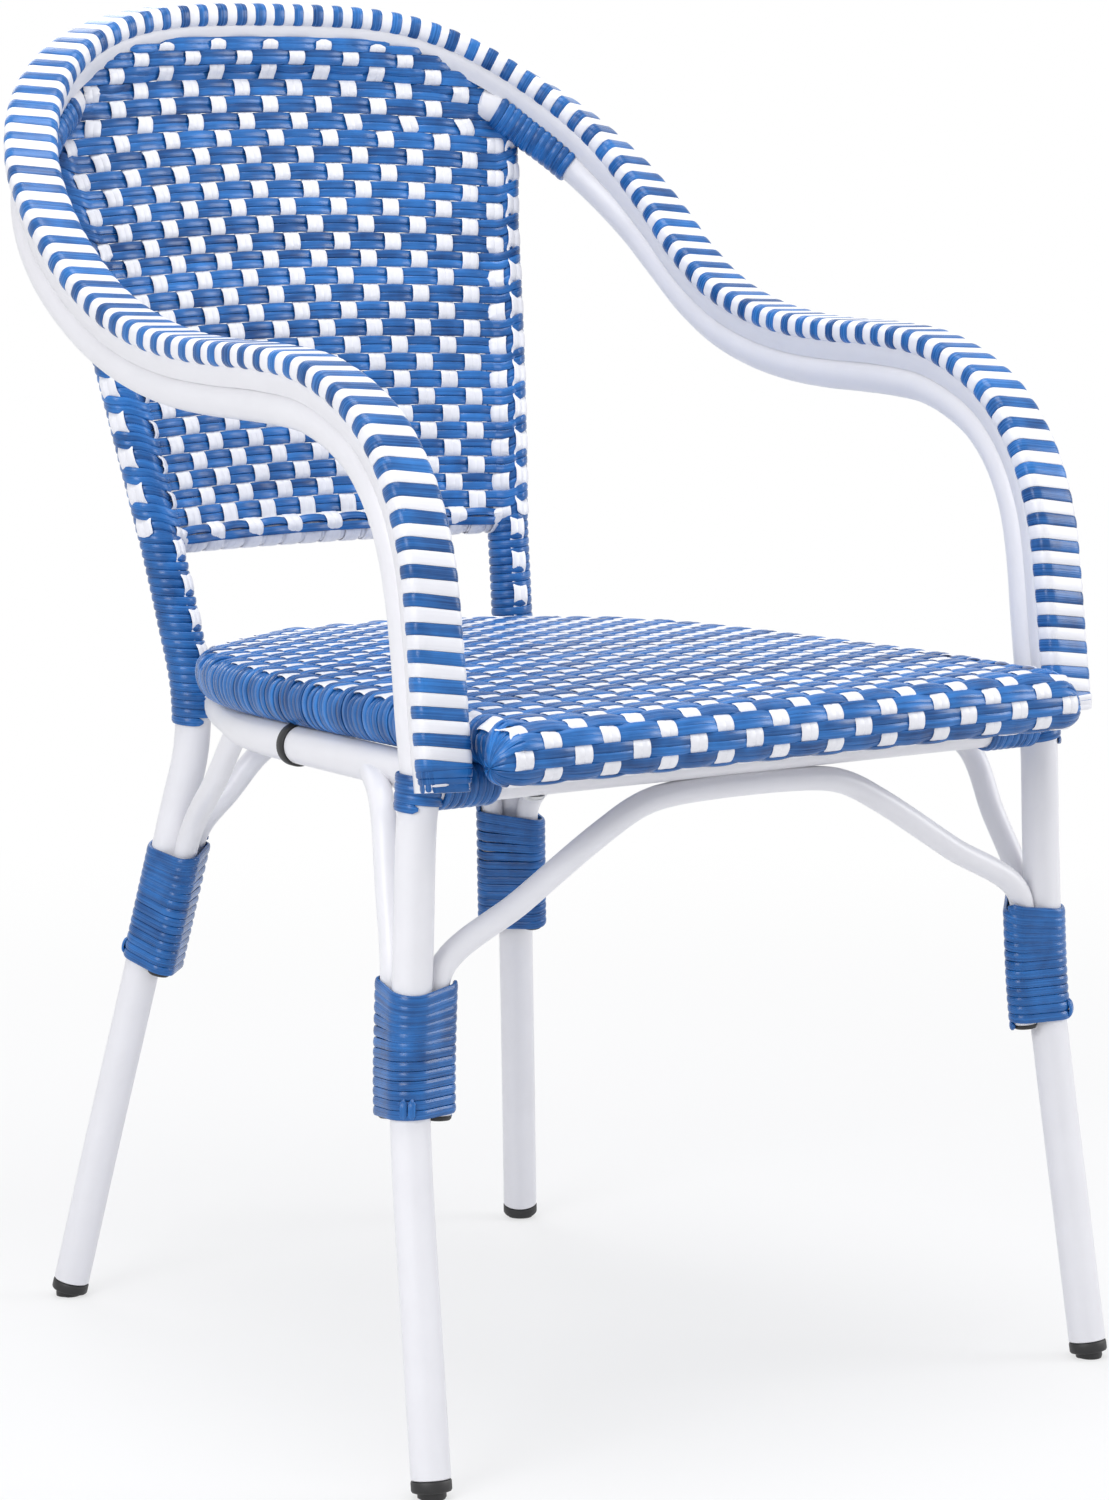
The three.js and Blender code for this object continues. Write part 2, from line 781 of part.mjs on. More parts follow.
const seatRailCurve = smoothCurve([...seatRailRight, ...mirroredPoints(seatRailRight.slice(0, -1))]);
const seatRailPath = new StationedPath(seatRailCurve, longestRun, true);
const seatRail = cutBy(
  barAlong(seatRailPath, tubeRadius, tubeSides),
  [frontRailCutter, hoopCutter, ...armCutters],
);
const seatRailCutter = cutterAlong(seatRailPath, tubeRadius, tubeSides);
addPiece('seat_rail', seatRail, whiteFrame);

// The share of the seat rail's length at a depth on its right side.
function seatRailShareAtDepth(depth) {
  let share = 0;
  while (share < 0.5 && seatRailCurve.getPointAt(share).y < depth) share += 1 / fineSamples;
  return share;
}

// The directions beside a leg at a height: square to its axis, towards the chair's middle and along a
// given side.
function besideDirections(curve, height, side) {
  const axis = headingAtHeight(curve, height);
  const towardMiddle = inward.clone().addScaledVector(axis, -inward.dot(axis)).normalize();
  const alongSide = side.clone().addScaledVector(axis, -side.dot(axis));
  alongSide.addScaledVector(towardMiddle, -alongSide.dot(towardMiddle)).normalize();
  return { axis, towardMiddle, alongSide };
}

// The place of a tube end that lies beside a leg at a height.
function besideLeg(curve, height, direction) {
  const away = tubeRadius + braceRadius + jointGap * 2;
  return pointAtHeight(curve, height).addScaledVector(direction, away);
}

// The binding of a leg: where it lies, and the side of the leg that its side brace lies on.
function bindingOf(bottomShare, turns, side, clearance) {
  const bottom = railTopHeight * bottomShare;
  const length = turns * strandPitch + strandWidth;
  return { bottom, turns, side, clearance, top: bottom + length, middle: bottom + length / 2 };
}

const frontBinding = bindingOf(frontBindingBottomShare, frontBindingTurns, rearward, frontBindingClearance);
const rearBinding = bindingOf(rearBindingBottomShare, rearBindingTurns, forward, rearBindingClearance);

// Cuts a brace on what it meets and gives it sockets for its end plugs.
function brace(path, cutters) {
  return cutBy(barAlong(path, braceRadius, braceSides), cutters);
}

// The end plug of a brace: a head under the tube and a stem in its bore.
function bracePlug(point, heading) {
  const stem = braceRadius - plugWall;
  const profile = [
    [0, -plugHeadThickness],
    [braceRadius - plugWall / 2, -plugHeadThickness],
    [braceRadius, 0],
    [stem, 0],
    [stem, plugStemLength],
    [0, plugStemLength],
  ];
  return turned(profile, point.clone().addScaledVector(heading, -jointGap), heading, braceSides);
}

// The bore for that plug.
function plugBore(point, heading) {
  const from = point.clone().addScaledVector(heading, -plugHeadThickness);
  const to = point.clone().addScaledVector(heading, plugStemLength + jointGap);
  return boreAlong(straightPath(from, to), braceRadius - plugWall, braceSides);
}

// An arch: its ends lie inside the two leg bindings and its flat top is fixed under the seat rails.
function archPath(curve, binding, topHalfWidth, topDepth) {
  const { towardMiddle } = besideDirections(curve, binding.middle, binding.side);
  const low = besideLeg(curve, binding.bottom, towardMiddle);
  const middle = besideLeg(curve, binding.middle, towardMiddle);
  const high = besideLeg(curve, binding.top + strandPitch, towardMiddle);
  const knee = new THREE.Vector3(topHalfWidth + archKneeOffset, topDepth, archTopHeight - archKneeDrop);
  const limb = high.clone().lerp(knee, archLimbShare);
  const bend = new THREE.Vector3(topHalfWidth, topDepth, archTopHeight - archBendDrop);
  const run = new THREE.Vector3(topHalfWidth - archBendLength, topDepth, archTopHeight);
  const right = [low, middle, high, limb, knee, bend, run];
  return new StationedPath(smoothCurve([...right, ...mirroredPoints(right)]), longestRun, true);
}

// Adds an arch and its two plugs.
function addArch(name, curve, binding, topHalfWidth, topDepth) {
  const path = archPath(curve, binding, topHalfWidth, topDepth);
  const foot = path.curve.getPointAt(0);
  const heading = path.curve.getTangentAt(0);
  const bore = plugBore(foot, heading);
  const cutters = [bore, mirrored(bore), frontRailCutter, seatRailCutter, hoopCutter, ...armCutters];
  addPiece(name, brace(path, cutters), whiteFrame);
  const plug = bracePlug(foot, heading);
  addPiece(`${name}_plug_right`, plug, blackPlastic);
  addPiece(`${name}_plug_left`, mirrored(plug), blackPlastic);
}

const seatRailRear = seatRailCurve.getPointAt(0.5);
addArch('front_arch', armCurve, frontBinding, archTopHalfWidth, legAtRail.y);
addArch('rear_arch', postCurve, rearBinding, rearArchTopHalfWidth, seatRailRear.y);

// A side brace: from inside a leg binding up to the underside of the seat rail's side.
function sideBracePath(curve, binding, reach, [limbShare, kneeShare, riseShare]) {
  const { alongSide } = besideDirections(curve, binding.middle, binding.side);
  const low = besideLeg(curve, binding.bottom, alongSide);
  const middle = besideLeg(curve, binding.middle, alongSide);
  const high = besideLeg(curve, binding.top + strandPitch, alongSide);
  const target = seatRailCurve.getPointAt(seatRailShareAtDepth(high.y + binding.side.y * reach));
  const rise = (seatRailHeight - high.z) * riseShare;
  const limb = high.clone().lerp(target, limbShare);
  limb.z = high.z + rise / 2;
  const knee = high.clone().lerp(target, kneeShare);
  knee.z = high.z + rise;
  return new StationedPath(smoothCurve([low, middle, high, limb, knee, target]), longestRun);
}

// Adds a side brace on both sides of the chair, with its plugs.
function addSideBraces(name, curve, binding, reach, shares) {
  const path = sideBracePath(curve, binding, reach, shares);
  const foot = path.curve.getPointAt(0);
  const heading = path.curve.getTangentAt(0);
  const cutters = [plugBore(foot, heading), seatRailCutter, hoopCutter, ...armCutters];
  const body = brace(path, cutters);
  addPiece(`${name}_right`, body, whiteFrame);
  addPiece(`${name}_left`, mirrored(body), whiteFrame);
  const plug = bracePlug(foot, heading);
  addPiece(`${name}_plug_right`, plug, blackPlastic);
  addPiece(`${name}_plug_left`, mirrored(plug), blackPlastic);
}

addSideBraces('side_brace_front', armCurve, frontBinding, frontBraceReach, frontBraceShares);
addSideBraces('side_brace_rear', postCurve, rearBinding, rearBraceReach, rearBraceShares);

// The corners of one loop round a leg and the two tube ends beside it: for each corner its place
// beside the leg's middle and its outward direction.
function loopCorners(clearance) {
  const away = tubeRadius + braceRadius + jointGap * 2;
  const circles = [
    { x: 0, y: 0, radius: tubeRadius },
    { x: away, y: 0, radius: braceRadius },
    { x: 0, y: away, radius: braceRadius },
  ];
  const lift = clearance + tubeRadius * (1 / Math.cos(Math.PI / windingTurnSteps) - 1);
  const reachOf = (circle, angle) => circle.x * Math.cos(angle) + circle.y * Math.sin(angle) + circle.radius;
  const bestAt = (angle) => circles.reduce((best, circle) => (
    reachOf(circle, angle) > reachOf(best, angle) ? circle : best));
  const cornerOf = (circle, angle) => ({
    x: circle.x + (circle.radius + lift) * Math.cos(angle),
    y: circle.y + (circle.radius + lift) * Math.sin(angle),
    angle,
  });
  const corners = [];
  const fine = windingTurnSteps * samplesPerSpan;
  let current = bestAt(0);
  for (let step = 0; step < fine; step += 1) {
    const angle = 2 * Math.PI * step / fine;
    const best = bestAt(angle);
    if (best !== current) {
      corners.push(cornerOf(current, angle));
      corners.push(cornerOf(best, angle));
      current = best;
    } else if (step % samplesPerSpan === samplesPerSpan / 2) {
      corners.push(cornerOf(best, angle));
    }
  }
  return corners;
}

// The frames of a strand that winds up a leg, from the first corner of a straight run of its loop.
function windingFrames(curve, binding) {
  const corners = loopCorners(binding.clearance);
  const after = (place) => corners[(place + 1) % corners.length];
  const start = corners.findIndex((corner, place) => corner.angle === after(place).angle);
  const { axis, towardMiddle, alongSide } = besideDirections(curve, binding.middle, binding.side);
  const frames = [];
  const total = binding.turns * corners.length;
  const climb = binding.turns * strandPitch * axis.z;
  for (let step = 0; step <= total; step += 1) {
    const corner = corners[(start + step) % corners.length];
    const point = pointAtHeight(curve, binding.middle + climb * (step / total - 0.5));
    point.addScaledVector(towardMiddle, corner.x).addScaledVector(alongSide, corner.y);
    const outward = towardMiddle.clone().multiplyScalar(Math.cos(corner.angle));
    outward.addScaledVector(alongSide, Math.sin(corner.angle));
    frames.push({ point, outward, across: axis });
  }
  return frames;
}

const strandShares = [
  [-1, 0],
  [1, 0],
  [0.6, 1],
  [-0.6, 1],
];
const strandOutline = strandShares.map(([x, y]) => [x * strandWidth / 2, y * strandHeight]);

// The least distance between the corner points of loops that lie one turn or more apart.
function leastSelfGap(frames, outline, loopSteps) {
  const points = frames.map((frame) => outline.map(([across, outward]) => frame.point.clone()
    .addScaledVector(frame.across, across)
    .addScaledVector(frame.outward, outward)));
  let least = Infinity;
  for (let step = 0; step + loopSteps < points.length; step += 1) {
    const from = step + Math.ceil(loopSteps / 2);
    for (let other = from; other < Math.min(points.length, step + loopSteps * 2); other += 1) {
      for (const one of points[step]) {
        for (const two of points[other]) least = Math.min(least, one.distanceTo(two));
      }
    }
  }
  return least;
}

// Adds the wound binding of a leg on both sides of the chair.
function addBinding(name, curve, binding) {
  const frames = windingFrames(curve, binding);
  const gap = leastSelfGap(frames, strandOutline, loopCorners(binding.clearance).length);
  console.log(`${name}: ${binding.turns} turns, least gap to itself ${gap.toFixed(2)} mm`);
  const winding = sweepFrames(frames, strandOutline);
  addPiece(`${name}_right`, winding, blueStrand);
  addPiece(`${name}_left`, mirrored(winding), blueStrand);
}

addBinding('leg_binding_front', armCurve, frontBinding);
addBinding('leg_binding_rear', postCurve, rearBinding);

// The wraps where the front rail meets a front leg: one round the leg, one round the rail.
const cornerRadius = tubeRadius + cornerWrapWall;
const legSleevePath = runBetweenHeights(
  armCurve,
  seatRailHeight - cornerWrapDrop,
  seatRailHeight + cornerWrapRise,
  1,
);
const sleeveFrom = legAtRail.clone();
const sleeveTo = legAtRail.clone().addScaledVector(inward, tubeRadius + cornerWrapReach);
const legSleeve = solidOf(barAlong(legSleevePath, cornerRadius, braceSides));
const railSleeve = solidOf(barAlong(straightPath(sleeveFrom, sleeveTo), cornerRadius, braceSides));
const wrapCeiling = seatRailHeight + tubeRadius;
const aboveWrap = boxBetween(
  new THREE.Vector3(0, legAtRail.y - cutOverrun, wrapCeiling),
  new THREE.Vector3(footHalfWidth + cutOverrun, legAtRail.y + cutOverrun, wrapCeiling + cutOverrun),
);
const cornerWrap = cutBy(
  geometryOf(legSleeve.add(railSleeve)),
  [armCutter, frontRailCutter, seatRailCutter, aboveWrap],
);
addPiece('corner_wrap_right', cornerWrap, blueStrand);
addPiece('corner_wrap_left', mirrored(cornerWrap), blueStrand);

// The frame inside the seat: a straight front bar, and a bent tube round the sides and the back.
const seatBendShares = [
  [1.0000, 1],
  [0.9995, 0.9680],
  [0.9985, 0.9380],
  [0.9970, 0.9080],
  [0.9950, 0.8700],
  [0.9880, 0.6400],
  [0.9750, 0.3900],
  [0.9480, 0.0550],
  [0.9130, -0.2500],
  [0.8350, -0.5000],
  [0.7250, -0.6700],
  [0.5600, -0.8050],
  [0.4000, -0.9000],
  [0.2100, -0.9760],
  [0, -1],
];

// How far the seat's front edge dips below its sides at a depth.
function seatDip(depth) {
  const run = (-depth - (seatFrontBarDepth - seatFrontDropRun)) / seatFrontDropRun;
  return seatFrontDrop * THREE.MathUtils.smoothstep(run, 0, 1);
}

function seatBendPoint([x, y]) {
  const depth = y > 0 ? -y * seatFrontBarDepth : -y * seatRingBack;
  return new THREE.Vector3(x * seatRingHalfWidth, depth, seatRingHeight - seatDip(depth));
}

const seatBendRight = seatBendShares.map(seatBendPoint);
const seatBendCurve = smoothCurve([...seatBendRight, ...mirroredPoints(seatBendRight.slice(0, -1))]);
const seatBendPath = new StationedPath(seatBendCurve, longestRun, true);
const frontBarHeight = seatRingHeight - seatFrontDrop;
const frontBarEnd = new THREE.Vector3(seatFrontBarHalfLength, -seatFrontBarDepth, frontBarHeight);
const frontBarStart = new THREE.Vector3(-seatFrontBarHalfLength, -seatFrontBarDepth, frontBarHeight);
const frontBarPath = straightPath(frontBarStart, frontBarEnd);
const frontBarCutter = cutterAlong(frontBarPath, seatFrameRadius, braceSides);
const seatBendCutter = cutterAlong(seatBendPath, seatFrameRadius, braceSides);
addPiece('seat_front_bar', barAlong(frontBarPath, seatFrameRadius, braceSides), whiteFrame);
const seatBend = cutBy(barAlong(seatBendPath, seatFrameRadius, braceSides), [frontBarCutter]);
addPiece('seat_frame', seatBend, whiteFrame);

// The crowned sheet of the seat, from the tops of its rolled edges to its middle.
const frontRimShares = [-0.5, 0, 0.5];
const towardMiddleShares = [0, 0.14, 0.5];
const crownShares = [0, 0.35, 0.85];

function seatSheet() {
  const rim = seatBendPath.shares.map((share) => seatBendCurve.getPointAt(share).clone());
  for (const share of frontRimShares) {
    rim.push(new THREE.Vector3(share * seatRingHalfWidth, -seatFrontBarDepth, frontBarHeight));
  }
  const middle = new THREE.Vector3(0, 0, seatRingHeight + seatRollRadius + seatCrown);
  const positions = [middle.x, middle.y, middle.z, middle.x, middle.y, middle.z - seatSheetThickness];
  const levels = towardMiddleShares.length;
  for (const edge of rim) {
    for (const drop of [0, seatSheetThickness]) {
      for (let level = 0; level < levels; level += 1) {
        const share = towardMiddleShares[level];
        const edgeTop = edge.z + seatRollRadius;
        positions.push(
          edge.x + (middle.x - edge.x) * share,
          edge.y + (middle.y - edge.y) * share,
          edgeTop + (middle.z - edgeTop) * crownShares[level] - drop,
        );
      }
    }
  }
  const faces = [];
  const corner = (ring, face, level) => 2 + (ring % rim.length) * levels * 2 + face * levels + level;
  for (let ring = 0; ring < rim.length; ring += 1) {
    for (let level = 0; level + 1 < levels; level += 1) {
      faces.push(corner(ring, 0, level), corner(ring + 1, 0, level), corner(ring, 0, level + 1));
      faces.push(corner(ring + 1, 0, level), corner(ring + 1, 0, level + 1), corner(ring, 0, level + 1));
      faces.push(corner(ring, 1, level), corner(ring, 1, level + 1), corner(ring + 1, 1, level));
      faces.push(corner(ring + 1, 1, level), corner(ring, 1, level + 1), corner(ring + 1, 1, level + 1));
    }
    faces.push(corner(ring, 0, levels - 1), corner(ring + 1, 0, levels - 1), 0);
    faces.push(corner(ring, 1, levels - 1), 1, corner(ring + 1, 1, levels - 1));
    faces.push(corner(ring, 0, 0), corner(ring, 1, 0), corner(ring + 1, 0, 0));
    faces.push(corner(ring + 1, 0, 0), corner(ring, 1, 0), corner(ring + 1, 1, 0));
  }
  const geometry = new THREE.BufferGeometry();
  geometry.setAttribute('position', new THREE.Float32BufferAttribute(positions, 3));
  geometry.setIndex(faces);
  return facingOut(geometry);
}

// The rolled front edge of the seat, with round ends.
function frontRoll() {
  const half = seatFrontBarHalfLength;
  const profile = [[0, -half - seatRollRadius]];
  for (const angle of rollEndAngles) {
    const turn = THREE.MathUtils.degToRad(angle);
    profile.push([seatRollRadius * Math.cos(turn), -half - seatRollRadius * Math.sin(turn)]);
  }
  const mirroredProfile = profile.slice().reverse().map(([radius, along]) => [radius, -along]);
  const middle = frontBarStart.clone().lerp(frontBarEnd, 0.5);
  return turned([...profile, ...mirroredProfile], middle, new THREE.Vector3(1, 0, 0), tubeSides);
}

// What the strands leave open under the seat: all that lies inside its frame and below its tubes.
function seatUnderside() {
  const outline = new THREE.Shape(seatBendPath.shares.map((share) => {
    const point = seatBendCurve.getPointAt(share);
    return new THREE.Vector2(point.x, point.y);
  }));
  const geometry = new THREE.ExtrudeGeometry(outline, { depth: cutOverrun, bevelEnabled: false });
  geometry.translate(0, 0, seatRingHeight - cutOverrun);
  return geometry;
}

const sideRoll = barAlong(seatBendPath, seatRollRadius, tubeSides);
const seatBody = solidOf(frontRoll()).add(solidOf(sideRoll)).add(solidOf(seatSheet()));
const wovenSeat = cutBy(geometryOf(seatBody), [frontBarCutter, seatBendCutter, seatUnderside()]);
addPiece('woven_seat', wovenSeat, blueStrand);

// A black ring on each side of the seat rail that keeps stacked chairs apart.
const ringShare = seatRailShareAtDepth(-stackingRingDepth);
const ringPoint = seatRailCurve.getPointAt(ringShare);
const ringHeading = seatRailCurve.getTangentAt(ringShare);
const ringOuter = tubeRadius + stackingRingWall;
const ringStart = ringPoint.clone().addScaledVector(ringHeading, -stackingRingWidth / 2);
const ringProfile = [
  [0, 0],
  [ringOuter - stackingRingWall / 3, 0],
  [ringOuter, stackingRingWidth / 4],
  [ringOuter, stackingRingWidth * 3 / 4],
  [ringOuter - stackingRingWall / 3, stackingRingWidth],
  [0, stackingRingWidth],
];
const ringBody = turned(ringProfile, ringStart, ringHeading, tubeSides);
const sideRollCutter = cutterAlong(seatBendPath, seatRollRadius, tubeSides);
const stackingRing = cutBy(ringBody, [seatRailCutter, sideRollCutter]);
addPiece('stacking_ring_right', stackingRing, blackPlastic);
addPiece('stacking_ring_left', mirrored(stackingRing), blackPlastic);

// A tab on the seat frame's front bar that lies over the front rail, and the bolt that holds it.
const tabLow = seatRailHeight + tubeRadius + jointGap;
const tabRear = legAtRail.y + seatTabWidth / 2;
const tabBody = boxBetween(
  new THREE.Vector3(-seatBoltSpan - seatTabWidth / 2, -seatFrontBarDepth, tabLow),
  new THREE.Vector3(-seatBoltSpan + seatTabWidth / 2, tabRear, tabLow + seatTabThickness),
);
addPiece('seat_tab', cutBy(tabBody, [frontBarCutter, boltBore]), whiteFrame);
const headRadius = seatBoltHeadDiameter / 2;
const shankRadius = seatBoltDiameter / 2;
const boltLength = boltTop.z - boltFoot.z;
const boltProfile = [
  [0, -jointGap],
  [headRadius - seatBoltHeadHeight / 3, -jointGap],
  [headRadius, seatBoltHeadHeight - jointGap],
  [shankRadius, seatBoltHeadHeight - jointGap],
  [shankRadius, boltLength],
  [0, boltLength],
];
addPiece('seat_bolt', turned(boltProfile, boltFoot, up, braceSides), brightSteel);

// The crossbar of the back, bowed to the rear between the posts, with its white strand wrap.
const crossRight = pointAtHeight(postCurve, crossbarHeight);
const crossLeft = new THREE.Vector3(-crossRight.x, crossRight.y, crossRight.z);
const crossMiddle = new THREE.Vector3(0, crossRight.y + crossbarBow, crossRight.z);
const crossCurve = new THREE.QuadraticBezierCurve3(
  crossLeft,
  crossMiddle.clone().addScaledVector(rearward, crossbarBow),
  crossRight,
);
const crossPath = new StationedPath(crossCurve, crossRight.x / 3);
const crossbar = cutBy(barAlong(crossPath, crossbarRadius, braceSides), [hoopCutter]);
addPiece('back_crossbar', crossbar, whiteFrame);
const crossWrapRadius = crossbarRadius + strandWallOnCrossbar;
const crossWrap = cutBy(
  barAlong(crossPath, crossWrapRadius, braceSides),
  [hoopCutter, cutterAlong(crossPath, crossbarRadius, braceSides)],
);
addPiece('crossbar_wrap', crossWrap, whiteStrand);

// What the rail takes away from a wrap round the tube below it: all that lies above its bead's foot.
function cutterOutline() {
  const half = railWidth / 2 + jointGap;
  const low = (tubeRadius + beadGap) * Math.cos(beadSaddleAngle) - railOffset - beadGap;
  return [[-half, low], [half, low], [half, railThickness], [-half, railThickness]];
}

// Where the wraps of the arm tubes' upper ends lie, as they run into the posts.
const armLength = armCurve.getLength();
const armWrapTo = 1 - tubeRadius / 2 / armLength;
const armWrapFrom = armWrapTo - (armEndWrapLength + tubeRadius) / armLength;
const armWrapPoints = [0, 0.5, 1].map((share) => (
  armCurve.getPointAt(armWrapFrom + (armWrapTo - armWrapFrom) * share)));
const armWrapPath = new StationedPath(smoothCurve(armWrapPoints), armEndWrapLength);
const wrapRunShare = (armEndWrapLength + longestRailStep) / railCurve.getLength();
const aboveWrapShares = railFrameShares.filter((share) => Math.abs(share - armEndShare) < wrapRunShare);
const coreCutter = sweepFrames(aboveWrapShares.map(railFrame), cutterOutline());
const armWrapCutter = cutterAlong(armWrapPath, tubeRadius + wrapWall, tubeSides);
// The woven back panel: a thin curved sheet between the posts, the top arch and the crossbar.
const panelCorner = pointAtHeight(postCurve, panelEdgeTopHeight);

// The point of the top arch above a share of the panel's half width.
function archPointAt(share) {
  const across = Math.abs(share) * panelCorner.x;
  let walk = 0.5;
  const corner = archKnotShares[0];
  while (walk > corner && hoopCurve.getPointAt(walk).x < across) walk -= 1 / fineSamples;
  const point = walk > corner ? hoopCurve.getPointAt(walk) : panelCorner;
  return new THREE.Vector3(share * panelCorner.x, point.y, point.z);
}

function wovenBack() {
  const columns = panelColumns;
  const rows = panelRows;
  const positions = [];
  for (const face of [-1, 1]) {
    for (let row = 0; row <= rows; row += 1) {
      const rise = row / rows;
      for (let column = 0; column <= columns; column += 1) {
        const share = 2 * column / columns - 1;
        const low = crossCurve.getPoint(column / columns);
        const high = archPointAt(share);
        const point = low.lerp(high, rise);
        point.y += panelBelly * 4 * rise * (1 - rise) * (1 - share * share);
        point.y += face * panelThickness / 2;
        positions.push(point.x, point.y, point.z);
      }
    }
  }
  const faces = [];
  const width = columns + 1;
  const sheet = width * (rows + 1);
  for (let row = 0; row < rows; row += 1) {
    for (let column = 0; column < columns; column += 1) {
      const here = row * width + column;
      faces.push(here, here + 1, here + width, here + 1, here + width + 1, here + width);
      const back = sheet + here;
      faces.push(back, back + width, back + 1, back + 1, back + width, back + width + 1);
    }
  }
  const rim = [];
  for (let column = 0; column < columns; column += 1) rim.push(column);
  for (let row = 0; row < rows; row += 1) rim.push(row * width + columns);
  for (let column = columns; column > 0; column -= 1) rim.push(rows * width + column);
  for (let row = rows; row > 0; row -= 1) rim.push(row * width);
  rim.forEach((here, place) => {
    const next = rim[(place + 1) % rim.length];
    faces.push(here, sheet + here, next, next, sheet + here, sheet + next);
  });
  const geometry = new THREE.BufferGeometry();
  geometry.setAttribute('position', new THREE.Float32BufferAttribute(positions, 3));
  geometry.setIndex(faces);
  return facingOut(geometry);
}

const panelCutters = [
  hoopCutter,
  cutterAlong(crossPath, crossWrapRadius, braceSides),
  ...armCutters,
  armWrapCutter,
  mirrored(armWrapCutter),
];
addPiece('woven_back', cutBy(wovenBack(), panelCutters), blueStrand);

// The strand wraps of the posts, from the seat rail up to the crossbar.
const postWrapTop = crossbarHeight - crossWrapRadius - wrapWall;
const postWrapPath = runBetweenHeights(postCurve, seatRailHeight - postWrapDrop, postWrapTop, 3);
const postWrap = cutBy(
  barAlong(postWrapPath, tubeRadius + wrapWall, tubeSides),
  [hoopCutter, seatRailCutter],
);
addPiece('post_wrap_right', postWrap, blueStrand);
addPiece('post_wrap_left', mirrored(postWrap), blueStrand);

// The wraps of the arm tubes' upper ends.
const armWrap = cutBy(
  barAlong(armWrapPath, tubeRadius + wrapWall, tubeSides),
  [armCutter, hoopCutter, coreCutter],
);
addPiece('arm_end_wrap_right', armWrap, blueStrand);
addPiece('arm_end_wrap_left', mirrored(armWrap), blueStrand);

// The origin lies on the floor, under the middle of the chair's own box.
chair.updateMatrixWorld(true);
const box = new THREE.Box3().setFromObject(chair);
chair.position.set(0, -(box.min.y + box.max.y) / 2, 0);
chair.updateMatrixWorld(true);

export default chair;
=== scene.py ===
"""Rattan bistro armchair.

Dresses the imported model: smooth frame tubes, a hand rail wound with single strips, a back and a seat
woven from single strands, wound bindings, black caps and a small studio round it. All in metres.
"""
import logging
import math
from dataclasses import dataclass
from enum import Enum

import bpy
import numpy as np
from mathutils import Euler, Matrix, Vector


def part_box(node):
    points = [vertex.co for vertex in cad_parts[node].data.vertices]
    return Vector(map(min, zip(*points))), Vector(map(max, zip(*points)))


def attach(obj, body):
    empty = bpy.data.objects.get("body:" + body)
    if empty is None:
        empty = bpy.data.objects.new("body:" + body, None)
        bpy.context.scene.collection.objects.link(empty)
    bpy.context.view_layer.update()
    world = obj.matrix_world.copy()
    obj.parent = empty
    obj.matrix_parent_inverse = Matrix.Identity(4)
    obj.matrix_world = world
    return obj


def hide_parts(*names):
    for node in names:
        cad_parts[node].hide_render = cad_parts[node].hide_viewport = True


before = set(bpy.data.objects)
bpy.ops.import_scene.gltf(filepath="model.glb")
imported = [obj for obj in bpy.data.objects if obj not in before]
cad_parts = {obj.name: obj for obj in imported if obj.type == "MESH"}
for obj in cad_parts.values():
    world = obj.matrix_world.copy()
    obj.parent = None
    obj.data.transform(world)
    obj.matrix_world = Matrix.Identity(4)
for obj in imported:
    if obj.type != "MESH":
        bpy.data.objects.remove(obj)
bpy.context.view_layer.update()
log = logging.getLogger("armchair")
Array = np.ndarray
Socket = bpy.types.NodeSocket
Pair = tuple[float, float]
Triple = tuple[float, float, float]

# Takes the part across the chair out of a vector.
FLAT = np.array([0, 1, 1])
# The distance between the points of a woven strand.
STRAND_STEP = 0.0021


class Side(Enum):
    """The two sides of the chair, seen from its front."""

    RIGHT = 1
    LEFT = -1

    @property
    def label(self) -> str:
        """The word that ends the names of this side's pieces."""
        return self.name.lower()

    @property
    def flip(self) -> Array:
        """What turns a point of the right side into one of this side."""
        return np.array([self.value, 1, 1])


class StrandShape(Enum):
    """The sections that the plastic strands are extruded in."""

    HALF_ROUND = "half round"
    OVAL = "oval"
    TAPE = "tape"

    def outline(self, width: float, height: float) -> Array:
        """The section of a strand.

        Args:
            width: its width.
            height: its height.
        Returns:
            Pairs across the strand and up from its middle.
        """
        if self is StrandShape.HALF_ROUND:
            turn = np.linspace(0, np.pi, 8)
            dome = np.stack([np.cos(turn) * width / 2, height * (0.75 * np.sin(turn) ** 0.6 - 0.25)], axis=1)
            foot = np.array([[-0.97 * width / 2, -height / 2], [0.97 * width / 2, -height / 2]])
            return np.vstack([dome, foot])
        if self is StrandShape.OVAL:
            turn = np.linspace(0, 2 * np.pi, 12, endpoint=False)
            wide = np.sign(np.cos(turn)) * abs(np.cos(turn)) ** 0.55 * width / 2
            tall = np.sign(np.sin(turn)) * abs(np.sin(turn)) ** 0.72 * height / 2
            return np.stack([wide, tall], axis=1)
        return np.array([
            [0.5, 0], [0.455, 0.42], [0.24, 0.56], [0.03, 0.5], [0, 0.36], [-0.03, 0.5], [-0.24, 0.56],
            [-0.455, 0.42], [-0.5, 0], [-0.44, -0.45], [0, -0.5], [0.44, -0.45],
        ]) * np.array([width, height])


def ease(value: Array) -> Array:
    """Eases from 0 to 1 as the value goes from 0 to 1."""
    held = np.clip(value, 0, 1)
    return held * held * (3 - 2 * held)


def unit(vectors: Array) -> Array:
    """Scales vectors to a length of one."""
    return vectors / np.linalg.norm(vectors, axis=-1, keepdims=True)


def mirror(points: Array) -> Array:
    """The same points on the other side of the chair, in the opposite order."""
    return np.array(points, float)[::-1] * np.array([-1, 1, 1])


def run_of(points: Array) -> Array:
    """The way walked along points, from 0 at the first one."""
    return np.concatenate([[0.0], np.cumsum(np.linalg.norm(np.diff(points, axis=0), axis=1))])


